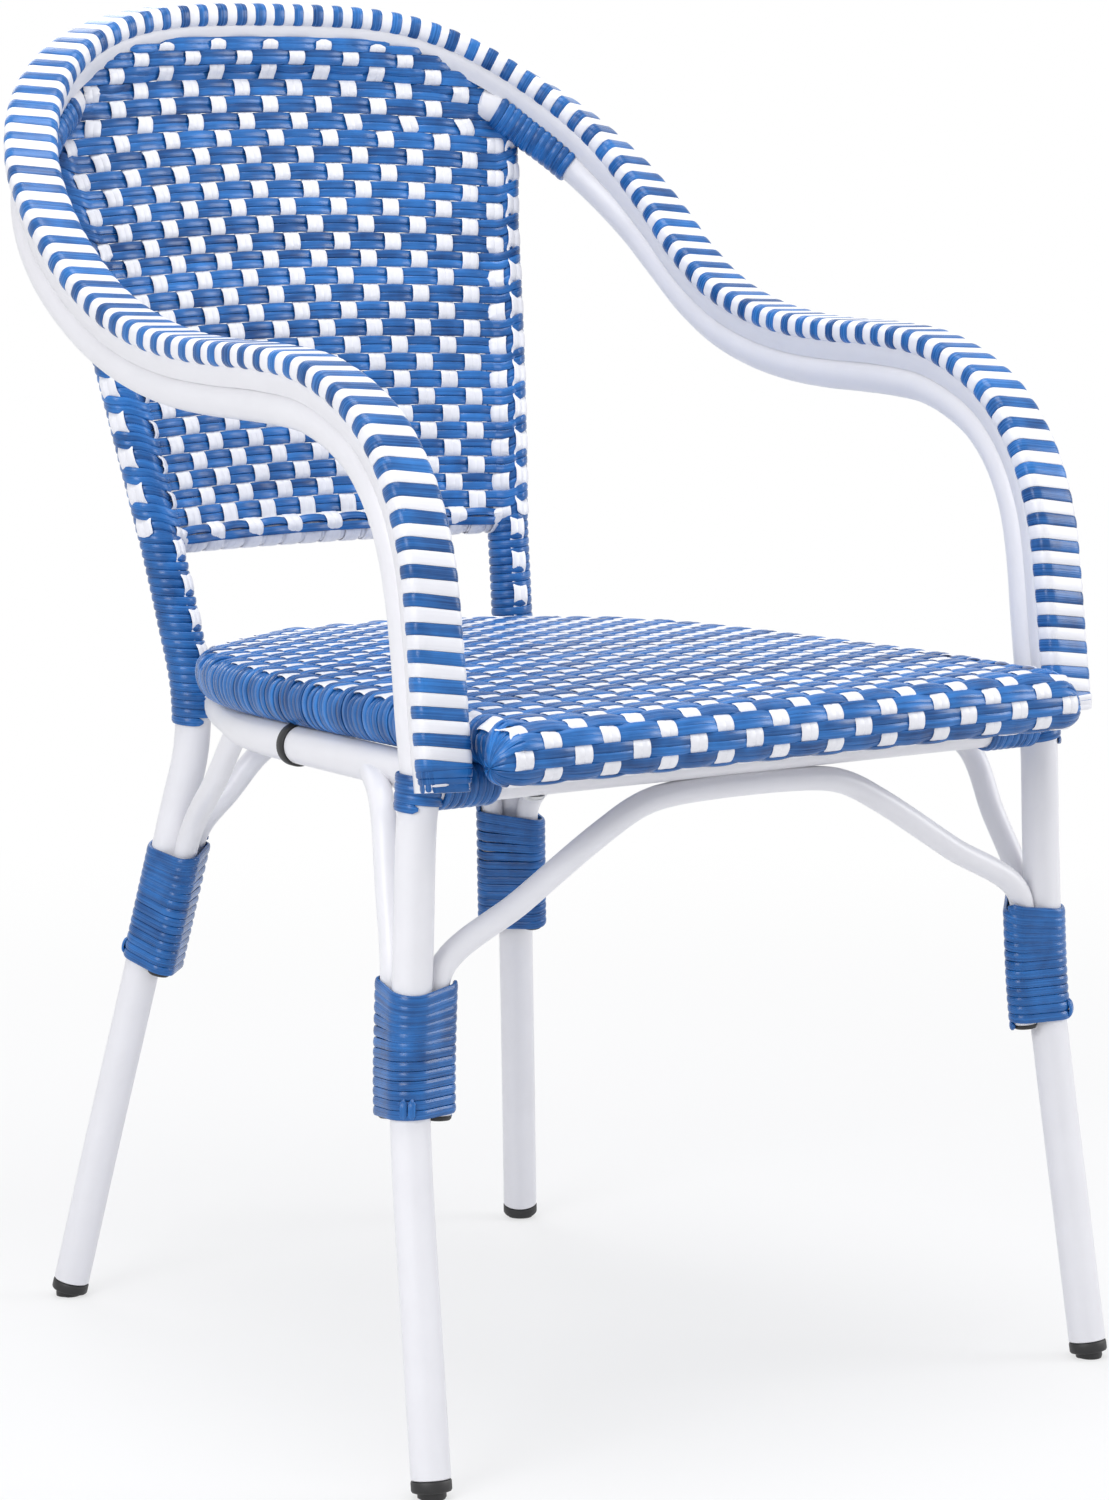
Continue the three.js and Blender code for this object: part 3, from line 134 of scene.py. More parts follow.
def looked_up(where: Array, known: Array, table: Array) -> Array:
    """The rows of a table at places between the known ones."""
    return np.stack([np.interp(where, known, column) for column in table.T], axis=-1)


def turned_round(turn: Array, first: Array, second: Array) -> Array:
    """Directions turned from a first one towards a second one."""
    return np.cos(turn)[:, None] * first + np.sin(turn)[:, None] * second


def square_to(axis: Array) -> Array:
    """A direction square to an axis."""
    return unit(np.cross(axis, [1.0, 0, 0] if abs(axis[0]) < 0.8 else [0, 1.0, 0]))


def settled(points: Array) -> Array:
    """A path whose bends are eased twice, with its ends kept."""
    for _ in range(2):
        points[1:-1] = (points[:-2] + 2 * points[1:-1] + points[2:]) / 4
    return points


def joined(*parts: tuple) -> tuple:
    """The left end of a strand turned round, its middle and its right end, column by column."""
    return tuple(np.concatenate([left[::-1], middle, right]) for left, middle, right in zip(*parts))


def past_axis(first: Array, second: Array, axis: Array, out: Array) -> tuple[Array, Array]:
    """How far places lie outside a flat axis.

    Args:
        first: their first coordinates.
        second: their second coordinates.
        axis: the samples of the axis.
        out: the outward direction at each sample.
    Returns:
        The distances, below zero inside, and the indices of the nearest samples.
    """
    near = ((first[:, None] - axis[:, 0]) ** 2 + (second[:, None] - axis[:, 1]) ** 2).argmin(axis=1)
    gap = np.stack([first, second], axis=1) - axis[near]
    return (gap * out[near]).sum(axis=1), near


def rounded_box(half_wide: float, half_tall: float, corner: float, steps: int) -> Array:
    """A rectangle with round corners, round the origin.

    Args:
        half_wide: half its width.
        half_tall: half its height.
        corner: the radius of its corners.
        steps: points in each corner.
    Returns:
        Its points as pairs.
    """
    turn = np.radians(np.linspace(0, 90, steps))
    corners = []
    for quarter, (wide, tall) in enumerate(((1, 1), (-1, 1), (-1, -1), (1, -1))):
        middle = np.array([wide * (half_wide - corner), tall * (half_tall - corner)])
        angle = turn + quarter * np.pi / 2
        corners.append(middle + corner * np.stack([np.cos(angle), np.sin(angle)], axis=1))
    return np.vstack(corners)


def flat_wave(angle: Array, squareness: float) -> Array:
    """A cosine with flattened tops.

    Args:
        angle: the angle in radians.
        squareness: 0 for a plain cosine, more for flatter tops.
    Returns:
        Values between -1 and 1.
    """
    wave = np.cos(angle)
    return np.tanh(wave * squareness) / math.tanh(squareness) if squareness > 0 else wave


class MeshBuilder:
    """Gathers closed bodies into the mesh of one piece."""

    def __init__(self, seed: int = 0, outline: Array | None = None) -> None:
        """Starts an empty mesh.

        Args:
            seed: sets the tones that its strands get.
            outline: the section of its strands.
        """
        self.points: list[Array] = []
        self.faces: list[list[int]] = []
        self.strand: list[Array] = []
        self.count = 0
        self.tones = np.random.default_rng(seed)
        self.outline = outline

    def body(self, points: Array, quads: Array, caps: list[Array], strand: Array) -> None:
        """Adds one closed body, with its faces turned out.

        Args:
            points: its points.
            quads: its faces of four points.
            caps: its other faces.
            strand: for each point the distance along the strand, the place across it and its tone.
        """
        corners = points[quads]
        volume = np.einsum("ij,ij->", corners[:, 0], np.cross(corners[:, 1], corners[:, 2]))
        volume += np.einsum("ij,ij->", corners[:, 0], np.cross(corners[:, 2], corners[:, 3]))
        for cap in caps:
            ring = points[cap]
            volume += np.einsum("ij,ij->", np.broadcast_to(ring[0], ring[1:-1].shape),
                                np.cross(ring[1:-1], ring[2:]))
        step = 1 if volume > 0 else -1
        self.faces.extend((quads[:, ::step] + self.count).tolist())
        self.faces.extend((cap[::step] + self.count).tolist() for cap in caps)
        self.points.append(points)
        self.strand.append(strand)
        self.count += len(points)

    def grid(self, rows: Array, tone: float | None = None) -> None:
        """Adds a body from rings of points, one ring after another.

        Args:
            rows: the rings, as rows of points.
            tone: the strand's tone, or none for a seeded one.
        """
        count, columns = rows.shape[:2]
        index = np.arange(count * columns).reshape(count, columns)
        here, after = index[:-1], index[1:]
        quads = np.stack([here, np.roll(here, -1, 1), np.roll(after, -1, 1), after], axis=-1).reshape(-1, 4)
        strand = np.empty((count, columns, 3))
        strand[..., 0] = run_of(rows.mean(axis=1))[:, None]
        strand[..., 1] = np.linspace(0, 1, columns)
        strand[..., 2] = self.tones.random() if tone is None else tone
        self.body(rows.reshape(-1, 3), quads, [index[0][::-1], index[-1]], strand.reshape(-1, 3))

    def lay(self, points: Array, normals: Array, taper: float = 0.0, tone: float | None = None,
            narrow: Array | None = None, outline: Array | None = None) -> None:
        """Adds a strand along a path on a surface.

        Args:
            points: the path of the strand's middle.
            normals: the directions in which its back faces.
            taper: the length over which its two ends grow thin.
            tone: its tone, or none for a seeded one.
            narrow: its width at each point, as a share.
            outline: its section, where it isn't the mesh's usual one.
        """
        headings = unit(np.gradient(points, axis=0))
        across = unit(np.cross(normals, headings))
        raised = np.cross(headings, across)
        section = np.tile(self.outline if outline is None else outline, (len(points), 1, 1))
        if narrow is not None:
            section[..., 0] *= narrow[:, None]
        if taper > 0:
            walked = run_of(points)
            left = np.minimum(walked, walked[-1] - walked)
            section = section * (0.35 + 0.65 * ease(left / taper))[:, None, None]
        rows = points[:, None] + section[..., :1] * across[:, None] + section[..., 1:] * raised[:, None]
        self.grid(rows, tone)

    def tube(self, points: Array, radius: float, rim: float = 0.0006) -> None:
        """Adds a round bar along a path.

        Args:
            points: the path of its middle.
            radius: its radius.
            rim: the radius of its softened rims.
        """
        headings = unit(np.gradient(points, axis=0))
        across = np.empty_like(points)
        across[0] = square_to(headings[0])
        for place in range(1, len(points)):
            across[place] = unit(across[place - 1] - headings[place] * (across[place - 1] @ headings[place]))
        ends = np.vstack([points[:1], points[:1] + headings[0] * rim, points[1:-1],
                          points[-1:] - headings[-1] * rim, points[-1:]])
        radii = np.full(len(ends), radius)
        radii[[0, -1]] -= rim
        pick = np.concatenate([[0], np.arange(len(points)), [len(points) - 1]])
        turn = np.linspace(0, 2 * np.pi, 36, endpoint=False)
        ring = turned_round(turn, across[pick][:, None], np.cross(headings, across)[pick][:, None])
        self.grid(ends[:, None] + ring * radii[:, None, None], 0.5)

    def turned(self, profile: list[Pair], foot: Array, axis: Array, sides: int = 48) -> None:
        """Adds a body of revolution.

        Args:
            profile: pairs of radius and height, from the axis round to the axis.
            foot: the point on the axis at height 0.
            axis: the direction of the axis.
            sides: how many sides it has.
        """
        heading = unit(np.asarray(axis, float))
        across = square_to(heading)
        angle = np.linspace(0, 2 * np.pi, sides, endpoint=False)
        ring = turned_round(angle, across, np.cross(heading, across))
        rows = [foot + heading * height + max(radius, 1e-5) * ring for radius, height in profile]
        self.grid(np.array(rows), 0.5)

    def make(self, name: str, crease: float) -> bpy.types.Object:
        """Makes the piece.

        Args:
            name: its name.
            crease: the angle in degrees from which an edge stays sharp.
        Returns:
            The new object.
        """
        mesh = bpy.data.meshes.new(name)
        mesh.from_pydata(np.vstack(self.points).tolist(), [], self.faces)
        mesh.update()
        values = mesh.attributes.new("strand", "FLOAT_VECTOR", "POINT")
        values.data.foreach_set("vector", np.vstack(self.strand).astype(np.float32).ravel())
        mesh.shade_smooth()
        mesh.set_sharp_from_angle(angle=math.radians(crease))
        piece = bpy.data.objects.new(name, mesh)
        bpy.context.scene.collection.objects.link(piece)
        return piece


def helix(start: Array, end: Array, radius: float, turns: float, first: float) -> tuple[Array, Array]:
    """The path of a strand wound round a straight axis.

    Args:
        start: where the winding starts on the axis.
        end: where it ends.
        radius: from the axis to the strand's middle.
        turns: how many turns it makes.
        first: the angle at which it starts.
    Returns:
        The points and the outward directions.
    """
    walk = np.linspace(0, 1, int(turns * 26) + 1)
    axis = unit(end - start)
    forward = np.array([0, 0, 1.0] if abs(axis[1]) > 0.9 else [0, -1.0, 0])
    across = unit(forward - axis * (forward @ axis))
    outward = turned_round(first + 2 * np.pi * turns * walk, across, np.cross(axis, across))
    return start + (end - start) * walk[:, None] + outward * radius, outward


class SmoothCurve:
    """A smooth curve through points that is walked by its own length."""

    PER_SPAN = 24

    def __init__(self, points: Array) -> None:
        """Samples the curve through points."""
        knots = np.array(points, float)
        first = 2 * knots[0] - knots[1]
        last = 2 * knots[-1] - knots[-2]
        framed = np.vstack([first, knots, last])
        places, headings = [], []
        walk = np.linspace(0, 1, self.PER_SPAN, endpoint=False)[:, None]
        for span in range(len(knots) - 1):
            before, start, end, after = framed[span:span + 4]
            run = [np.linalg.norm(b - a) ** 0.5 for a, b in ((before, start), (start, end), (end, after))]
            leave = (start - before) / run[0] - (end - before) / (run[0] + run[1]) + (end - start) / run[1]
            arrive = (end - start) / run[1] - (after - start) / (run[1] + run[2]) + (after - end) / run[2]
            leave, arrive = leave * run[1], arrive * run[1]
            square = -3 * start + 3 * end - 2 * leave - arrive
            cube = 2 * start - 2 * end + leave + arrive
            steps = walk if span + 2 < len(knots) else np.vstack([walk, [[1.0]]])
            places.append(start + leave * steps + square * steps ** 2 + cube * steps ** 3)
            headings.append(leave + 2 * square * steps + 3 * cube * steps ** 2)
        self.samples = np.vstack(places)
        self.headings = unit(np.vstack(headings))
        self.walked = run_of(self.samples)
        self.length = float(self.walked[-1])

    def at(self, distance: Array) -> Array:
        """The points at distances along the curve, carried on straight past its ends."""
        reach = np.atleast_1d(np.asarray(distance, float))
        inside = np.clip(reach, 0, self.length)
        found = looked_up(inside, self.walked, self.samples)
        return found + self.heading(reach) * (reach - inside)[:, None]

    def heading(self, distance: Array) -> Array:
        """The directions at distances along the curve."""
        reach = np.clip(np.atleast_1d(np.asarray(distance, float)), 0, self.length)
        return unit(looked_up(reach, self.walked, self.headings))

    def walked_at(self, height: Array) -> Array:
        """The distances at which the first rising run of the curve has heights."""
        top = int(np.argmax(np.diff(self.samples[:, 2]) <= 0)) or len(self.samples)
        return np.interp(height, self.samples[:top, 2], self.walked[:top])

    def distance_where(self, axis: int, value: float, limit: float = 1.0) -> float:
        """The first distance at which a coordinate passes a value.

        Args:
            axis: 0, 1 or 2 for the coordinate.
            value: what it passes.
            limit: the share of the curve that is searched.
        Returns:
            The distance along the curve.
        """
        count = int(len(self.samples) * limit)
        level = self.samples[:count, axis] - value
        crossing = np.nonzero(level[:-1] * level[1:] <= 0)[0]
        if not len(crossing):
            return float(self.walked[int(np.argmin(abs(level)))])
        place = int(crossing[0])
        share = level[place] / (level[place] - level[place + 1])
        return float(self.walked[place] + share * (self.walked[place + 1] - self.walked[place]))


@dataclass
class ChairLines:
    """The centre lines that every part of the chair follows, on its right side, in metres."""

    foot_half_width: float = 0.2722
    foot_half_depth: float = 0.2783
    rail_top: float = 0.906
    seat_rail_height: float = 0.4315
    tube_radius: float = 0.0125
    brace_radius: float = 0.008
    rail_width: float = 0.036
    rail_thickness: float = 0.016
    bead_height: float = 0.0082
    bead_gap: float = 0.0005
    rail_end_share: float = 0.00708
    cap_height: float = 0.0112
    arch_start_share: float = 0.4325
    arm_end_share: float = 0.4005
    panel_edge_top: float = 0.818
    seat_half_width: float = 0.215
    seat_back: float = 0.207
    front_bar_depth: float = 0.2905
    roll_radius: float = 0.0165
    front_drop: float = 0.011
    front_drop_run: float = 0.036
    crossbar_height: float = 0.542
    crossbar_bow: float = 0.016
    joint_gap: float = 0.0003
    front_binding: Pair = (0.229, 0.3124)
    rear_binding: Pair = (0.245, 0.3344)
    shift: float = -0.014535

    RAIL = (
        (0.9331, -0.9684, 0.4757), (0.9315, -0.9447, 0.5263), (0.93, -0.9227, 0.5798),
        (0.929, -0.8904, 0.6339), (0.9285, -0.8185, 0.6818), (0.929, -0.6957, 0.7212),
        (0.931, -0.4941, 0.7488), (0.9355, -0.2871, 0.7563), (0.94, -0.1046, 0.7573),
        (0.9435, 0.0769, 0.7609), (0.946, 0.2393, 0.7701), (0.9485, 0.3906, 0.7868),
        (0.952, 0.5325, 0.814), (0.949, 0.6622, 0.8492), (0.921, 0.779, 0.8834),
        (0.8571, 0.8843, 0.9164), (0.7612, 0.981, 0.9454), (0.6345, 1.057, 0.9703),
        (0.4956, 1.101, 0.9868), (0.3306, 1.123, 0.9964), (0, 1.14, 1),
    )
    POST = (
        (0.734, 1.0, 0), (0.667, 0.919, 0.1325), (0.597, 0.836, 0.266),
        (0.535, 0.761, 0.387), (0.508, 0.73, 0.441), (0.509, 0.725, 0.484),
        (0.5264, 0.7603, 0.5395), (0.547, 0.8024, 0.5959), (0.5782, 0.8509, 0.6621),
        (0.6212, 0.9227, 0.7509), (0.669, 1.009, 0.8386), (0.696, 1.047, 0.883),
        (0.694, 1.069, 0.913),
    )
    LEG = (
        (1.0, -1.0, 0), (0.986, -0.944, 0.109), (0.971, -0.887, 0.221),
        (0.961, -0.866, 0.276), (0.945, -0.86, 0.375), (0.9345, -0.859, 0.454),
    )
    SEAT_RAIL = (
        (1.025, 0.825), (1.012, 0.64), (0.99, 0.43), (0.965, 0.21),
        (0.935, -0.03), (0.89, -0.23), (0.815, -0.415),
    )
    SEAT_RAIL_BACK = ((0.34, -0.915), (0, -0.942))
    SEAT_BEND = (
        (1.0, 1), (0.9995, 0.968), (0.9985, 0.938), (0.997, 0.908), (0.995, 0.87),
        (0.988, 0.64), (0.975, 0.39), (0.948, 0.055), (0.913, -0.25),
        (0.835, -0.5), (0.725, -0.67), (0.56, -0.805), (0.4, -0.9),
        (0.21, -0.976), (0, -1),
    )

    def __post_init__(self) -> None:
        """Draws every centre line."""
        right = self.placed(self.RAIL)
        self.rail = SmoothCurve(np.vstack([right, mirror(right[:-1])]))
        self.rail_offset = self.tube_radius + self.bead_gap + self.bead_height + self.rail_thickness / 2
        self.ring_height = self.seat_rail_height + self.tube_radius + self.joint_gap + self.roll_radius
        self.posts = self.placed(self.POST)
        self.legs = self.placed(self.LEG)
        whole = self.rail.length
        arch = self.carrier(np.linspace(self.arch_start_share, 0.5, 8)[:-1] * whole)
        top = self.carrier(np.array([0.5 * whole]))
        hoop_right = np.vstack([self.above_cap(self.posts), arch])
        self.hoop = SmoothCurve(np.vstack([hoop_right, top, mirror(hoop_right)]))
        self.post = SmoothCurve(np.vstack([hoop_right, top]))
        start = self.rail.distance_where(2, self.legs[-1][2] + 2 * self.tube_radius, 0.3)
        carried = self.carrier(np.linspace(start, self.arm_end_share * whole, 22))
        joint = self.post.at(self.post.distance_where(2, self.panel_edge_top + self.tube_radius))
        self.arm = SmoothCurve(np.vstack([self.above_cap(self.legs), carried, joint]))
        self.rail_end = self.rail_end_share * whole
        self.leg_at_rail = self.arm.at(self.arm.distance_where(2, self.seat_rail_height))[0]
        self.post_at_rail = self.post.at(self.post.distance_where(2, self.seat_rail_height))[0]
        self.seat_rail = self.bent_seat_rail()
        bend = self.ring_points(self.SEAT_BEND, self.ring_height)
        bend[:, 2] -= self.dip(bend[:, 1])
        self.seat_bend = SmoothCurve(np.vstack([bend, mirror(bend[:-1])]))
        self.front_bar_height = self.ring_height - self.front_drop
        self.cross_right = self.post.at(self.post.distance_where(2, self.crossbar_height))[0]
        self.front_beside = self.beside_leg(self.arm, self.front_binding, 1.0)
        self.rear_beside = self.beside_leg(self.post, self.rear_binding, -1.0)

    def beside_leg(self, leg: SmoothCurve, binding: Pair, rearward: float) -> dict:
        """The directions beside a leg in its binding.

        Args:
            leg: the leg's middle.
            binding: the heights of the binding's lower and upper end.
            rearward: 1 where the side brace lies behind the leg, -1 where it lies before it.
        Returns:
            The axis of the leg and the directions towards the middle and along the side.
        """
        reach = leg.distance_where(2, (binding[0] + binding[1]) / 2, 0.4)
        axis = leg.heading(reach)[0]
        middle = unit(np.array([-1.0, 0, 0]) + axis * axis[0])
        along = np.array([0, rearward, 0]) - axis * rearward * axis[1]
        return {"axis": axis, "middle": middle, "along": unit(along - middle * (along @ middle))}

    def leg_point(self, leg: SmoothCurve, height: float) -> Array:
        """The middle of a leg at a height."""
        return leg.at(leg.distance_where(2, height, 0.45))[0]

    def beside_points(self, leg: SmoothCurve, binding: Pair, direction: Array) -> list:
        """Three points of a brace inside a binding.

        Args:
            leg: the leg's middle.
            binding: the heights of the binding's lower and upper end.
            direction: from the leg to the brace.
        Returns:
            The lowest, the middle and the highest point.
        """
        away = self.tube_radius + self.brace_radius + 2 * self.joint_gap
        heights = (binding[0], (binding[0] + binding[1]) / 2, binding[1] + 0.006)
        return [self.leg_point(leg, height) + direction * away for height in heights]

    def arch(self, leg: SmoothCurve, binding: Pair, middle: Array, half: float,
             depth: float) -> SmoothCurve:
        """The middle of an arch between two legs.

        Args:
            leg: the right leg's middle.
            binding: the heights of its binding.
            middle: the direction towards the chair's middle.
            half: the half width of its flat top.
            depth: how far back its flat top lies.
        Returns:
            Its curve from the right foot to the left one.
        """
        top = self.seat_rail_height - self.tube_radius - self.joint_gap - self.brace_radius
        start = self.beside_points(leg, binding, middle)
        knee = np.array([half + 0.031, depth, top - 0.02])
        right = np.vstack([*start, (start[-1] + knee) / 2, knee, (half, depth, top - 0.005),
                           (half - 0.026, depth, top)])
        return SmoothCurve(np.vstack([right, mirror(right)]))

    def side_brace(self, leg: SmoothCurve, binding: Pair, along: Array, reach: float,
                   shares: Triple) -> SmoothCurve:
        """The middle of a side brace, from its binding to the seat rail.

        Args:
            leg: the leg's middle.
            binding: the heights of its binding.
            along: the direction along the chair's side.
            reach: how far along the seat rail it ends.
            shares: where its limb and its knee lie, and how far the knee rises.
        Returns:
            Its curve.
        """
        start = self.beside_points(leg, binding, along)
        high = start[-1]
        end = high[1] + math.copysign(reach, along[1])
        target = self.seat_rail.at(self.seat_rail.distance_where(1, end, 0.5))[0]
        bends = high + (target - high) * np.array(shares[:2])[:, None]
        bends[:, 2] = high[2] + (self.seat_rail_height - high[2]) * shares[2] * np.array([0.5, 1])
        return SmoothCurve(np.vstack([*start, bends, target]))

    def placed(self, shares: tuple) -> Array:
        """Places share triples by the width and depth between the feet and the rail's height."""
        sizes = np.array([self.foot_half_width, self.foot_half_depth, self.rail_top])
        return np.array(shares) * sizes + np.array([0, self.shift, 0])

    def ring_points(self, shares: tuple, height: float) -> Array:
        """Places share pairs by the seat's half width and its depths to the front and the back."""
        pairs = np.array(shares)
        depth = np.where(pairs[:, 1] > 0, -pairs[:, 1] * self.front_bar_depth, -pairs[:, 1] * self.seat_back)
        width = pairs[:, 0] * self.seat_half_width
        return np.stack([width, depth + self.shift, np.full(len(pairs), height)], axis=1)

    def above_cap(self, knots: Array) -> Array:
        """The knots of a leg with the first one moved up to the top of its foot cap."""
        heading = unit(knots[1] - knots[0])
        return np.vstack([knots[0] + heading * (self.cap_height + self.joint_gap), knots[1:]])

    def rail_frame(self, distance: Array) -> tuple[Array, ...]:
        """The rail's frames at distances along it.

        Args:
            distance: distances along the rail.
        Returns:
            Points, headings, outward directions and directions across the rail.
        """
        point = self.rail.at(distance)
        heading = self.rail.heading(distance)
        level = np.hypot(heading[:, 0], heading[:, 1])
        outward = np.column_stack([-heading[:, 2:] * heading[:, :2] / level[:, None], level])
        return point, heading, outward, np.cross(heading, outward)

    def carrier(self, distance: Array) -> Array:
        """The middle of the tube that carries the rail."""
        point, _, outward, _ = self.rail_frame(distance)
        return point - outward * self.rail_offset

    def bent_seat_rail(self) -> SmoothCurve:
        """The bent tube under the seat's sides and back."""
        away = 2 * self.tube_radius + 2 * self.joint_gap
        beside = self.post_at_rail + unit(np.array([-1.0, -1.0, 0])) * away
        beside[2] = self.seat_rail_height
        front = self.ring_points(self.SEAT_RAIL, self.seat_rail_height)
        right = np.vstack([front, beside, self.ring_points(self.SEAT_RAIL_BACK, self.seat_rail_height)])
        return SmoothCurve(np.vstack([right, mirror(right[:-1])]))

    def dip(self, depth: Array) -> Array:
        """How far the seat's front edge dips at a depth."""
        start = self.front_bar_depth - self.front_drop_run
        run = np.clip((-(depth - self.shift) - start) / self.front_drop_run, 0, 1)
        return self.front_drop * run * run * (3 - 2 * run)

    def crossbar(self, share: Array) -> Array:
        """Points of the bowed bar under the back panel, from -1 on the left to 1 on the right."""
        share = np.atleast_1d(share)
        across, depth, height = self.cross_right
        bowed = depth + self.crossbar_bow * (1 - share ** 2)
        return np.stack([share * across, bowed, np.full_like(share, height)], axis=1)


class NodeSheet:
    """Places the nodes of a material or a group."""

    def __init__(self, tree: bpy.types.NodeTree) -> None:
        """Keeps the tree that the nodes go into."""
        self.tree = tree
        self.placed = 0

    def node(self, kind: str, **settings: object) -> bpy.types.Node:
        """Adds a node.

        Args:
            kind: its type.
            settings: its properties, and its plain input values under their names with _ for spaces.
        Returns:
            The node.
        """
        made = self.tree.nodes.new(kind)
        made.location = (200 * (self.placed % 8), -220 * (self.placed // 8))
        self.placed += 1
        for name, value in settings.items():
            if hasattr(made, name):
                setattr(made, name, value)
            else:
                made.inputs[name.replace("_", " ")].default_value = value
        return made

    def feed(self, node: bpy.types.Node, place: int, value: object) -> None:
        """Gives one input of a node a socket's result or a plain value."""
        if isinstance(value, Socket):
            self.tree.links.new(value, node.inputs[place])
        else:
            node.inputs[place].default_value = value

    def math(self, operation: str, *values: object) -> Socket:
        """Adds a sum on values or sockets and gives its result."""
        made = self.node("ShaderNodeMath", operation=operation)
        for place, value in enumerate((*values, 0.0, 0.0)[:3]):
            self.feed(made, place, value)
        return made.outputs[0]

    def mix(self, factor: Socket, first: Triple, second: Triple) -> Socket:
        """Mixes two colours and gives the result."""
        made = self.node("ShaderNodeMix", data_type="RGBA")
        for place, value in ((0, factor), (6, (*first, 1.0)), (7, (*second, 1.0))):
            self.feed(made, place, value)
        return made.outputs[2]

    def link(self, start: Socket, end: Socket) -> None:
        """Links two sockets."""
        self.tree.links.new(start, end)


class SharedEffects:
    """The effects that more than one material uses, each a node group that is built once."""

    def __init__(self) -> None:
        """Builds the groups."""
        self.streaks = self.build_streaks()
        self.grain = self.build_grain()

    @staticmethod
    def group(name: str, inputs: dict[str, float], outputs: tuple[str, ...]) -> tuple:
        """Starts a group with named inputs and outputs.

        Args:
            name: its name.
            inputs: each input's name and first value.
            outputs: the names of its outputs.
        Returns:
            The group, its sheet, its input node and its output node.
        """
        made = bpy.data.node_groups.new(name, "ShaderNodeTree")
        for title, value in inputs.items():
            socket = made.interface.new_socket(title, in_out="INPUT", socket_type="NodeSocketFloat")
            socket.default_value = value
        for title in outputs:
            made.interface.new_socket(title, in_out="OUTPUT", socket_type="NodeSocketFloat")
        sheet = NodeSheet(made)
        return made, sheet, sheet.node("NodeGroupInput"), sheet.node("NodeGroupOutput")

    def build_streaks(self) -> bpy.types.NodeTree:
        """The lengthwise stripes of an extruded strand, which in its colour are partly its own tone and
        partly painted highlights, and its slow mottling.
        """
        made, sheet, given, result = self.group(
            "extruded_streaks", {"Along": 6.0, "Around": 9.0, "Mottle": 55.0}, ("Streak_and_highlight", "Mottle", "Tone"))
        values = sheet.node("ShaderNodeAttribute", attribute_name="strand", attribute_type="GEOMETRY")
        parts = sheet.node("ShaderNodeSeparateXYZ")
        sheet.link(values.outputs["Vector"], parts.inputs[0])
        place = sheet.node("ShaderNodeCombineXYZ")
        for at, scale in enumerate((given.outputs["Along"], given.outputs["Around"], 37.0)):
            sheet.link(sheet.math("MULTIPLY", parts.outputs[at], scale), place.inputs[at])
        streak_and_highlight = sheet.node("ShaderNodeTexNoise", Scale=1.0, Detail=3.0, Roughness=0.6)
        sheet.link(place.outputs[0], streak_and_highlight.inputs["Vector"])
        where = sheet.node("ShaderNodeTexCoord")
        mottle = sheet.node("ShaderNodeTexNoise", Detail=2.0, Roughness=0.5)
        sheet.link(where.outputs["Object"], mottle.inputs["Vector"])
        sheet.link(given.outputs["Mottle"], mottle.inputs["Scale"])
        sheet.link(streak_and_highlight.outputs[0], result.inputs["Streak_and_highlight"])
        sheet.link(mottle.outputs[0], result.inputs["Mottle"])
        sheet.link(parts.outputs[2], result.inputs["Tone"])
        return made

    def build_grain(self) -> bpy.types.NodeTree:
        """The fine grain of a coated or moulded surface, with slow waves under it."""
        made, sheet, given, result = self.group(
            "surface_grain", {"Fine": 900.0, "Slow": 40.0, "Share": 0.5}, ("Height", "Mask"))
        where = sheet.node("ShaderNodeTexCoord")
        fine = sheet.node("ShaderNodeTexNoise", Detail=2.0, Roughness=0.55)
        slow = sheet.node("ShaderNodeTexNoise", Detail=3.0, Roughness=0.5)
        for texture, title in ((fine, "Fine"), (slow, "Slow")):
            sheet.link(where.outputs["Object"], texture.inputs["Vector"])
            sheet.link(given.outputs[title], texture.inputs["Scale"])
        fine_part = sheet.math("MULTIPLY", fine.outputs[0], given.outputs["Share"])
        sheet.link(sheet.math("ADD", fine_part, slow.outputs[0]), result.inputs["Height"])
        sheet.link(slow.outputs[0], result.inputs["Mask"])
        return made


@dataclass(frozen=True)
class Finish:
    """What all finishes share: two tones that an effect mixes, a roughness and a fine relief."""

    name: str
    slot: str
    deep: Triple
    light: Triple
    roughness: float
    relief: float

    def surface(self, group: bpy.types.NodeTree, **values: float) -> tuple:
        """Starts the material with a shared effect in it.

        Args:
            group: the effect's node group.
            values: the effect's own values.
        Returns:
            The material, its sheet, its shader and the effect's outputs.
        """
        made = bpy.data.materials.new(self.name)
        made.use_nodes = True
        sheet = NodeSheet(made.node_tree)
        effect = sheet.node("ShaderNodeGroup", node_tree=group, **values)
        return made, sheet, made.node_tree.nodes["Principled BSDF"], effect.outputs

    def shade(self, sheet: NodeSheet, shader: bpy.types.Node, tone: Socket, wear: Socket, spread: float,
              height: Socket, strength: float) -> None:
        """Feeds the shader's colour, roughness and normal.

        Args:
            sheet: the material's sheet.
            shader: its shader.
            tone: what mixes the two tones.
            wear: what changes the roughness.
            spread: how far it changes it.
            height: what makes the relief.
            strength: how strong the relief is.
        """
        sheet.link(sheet.mix(tone, self.deep, self.light), shader.inputs["Base Color"])
        polish = sheet.math("MULTIPLY_ADD", wear, spread, self.roughness - spread / 2)
        sheet.link(polish, shader.inputs["Roughness"])
        bump = sheet.node("ShaderNodeBump", Strength=strength, Distance=self.relief)
        sheet.link(height, bump.inputs["Height"])
        sheet.link(bump.outputs["Normal"], shader.inputs["Normal"])


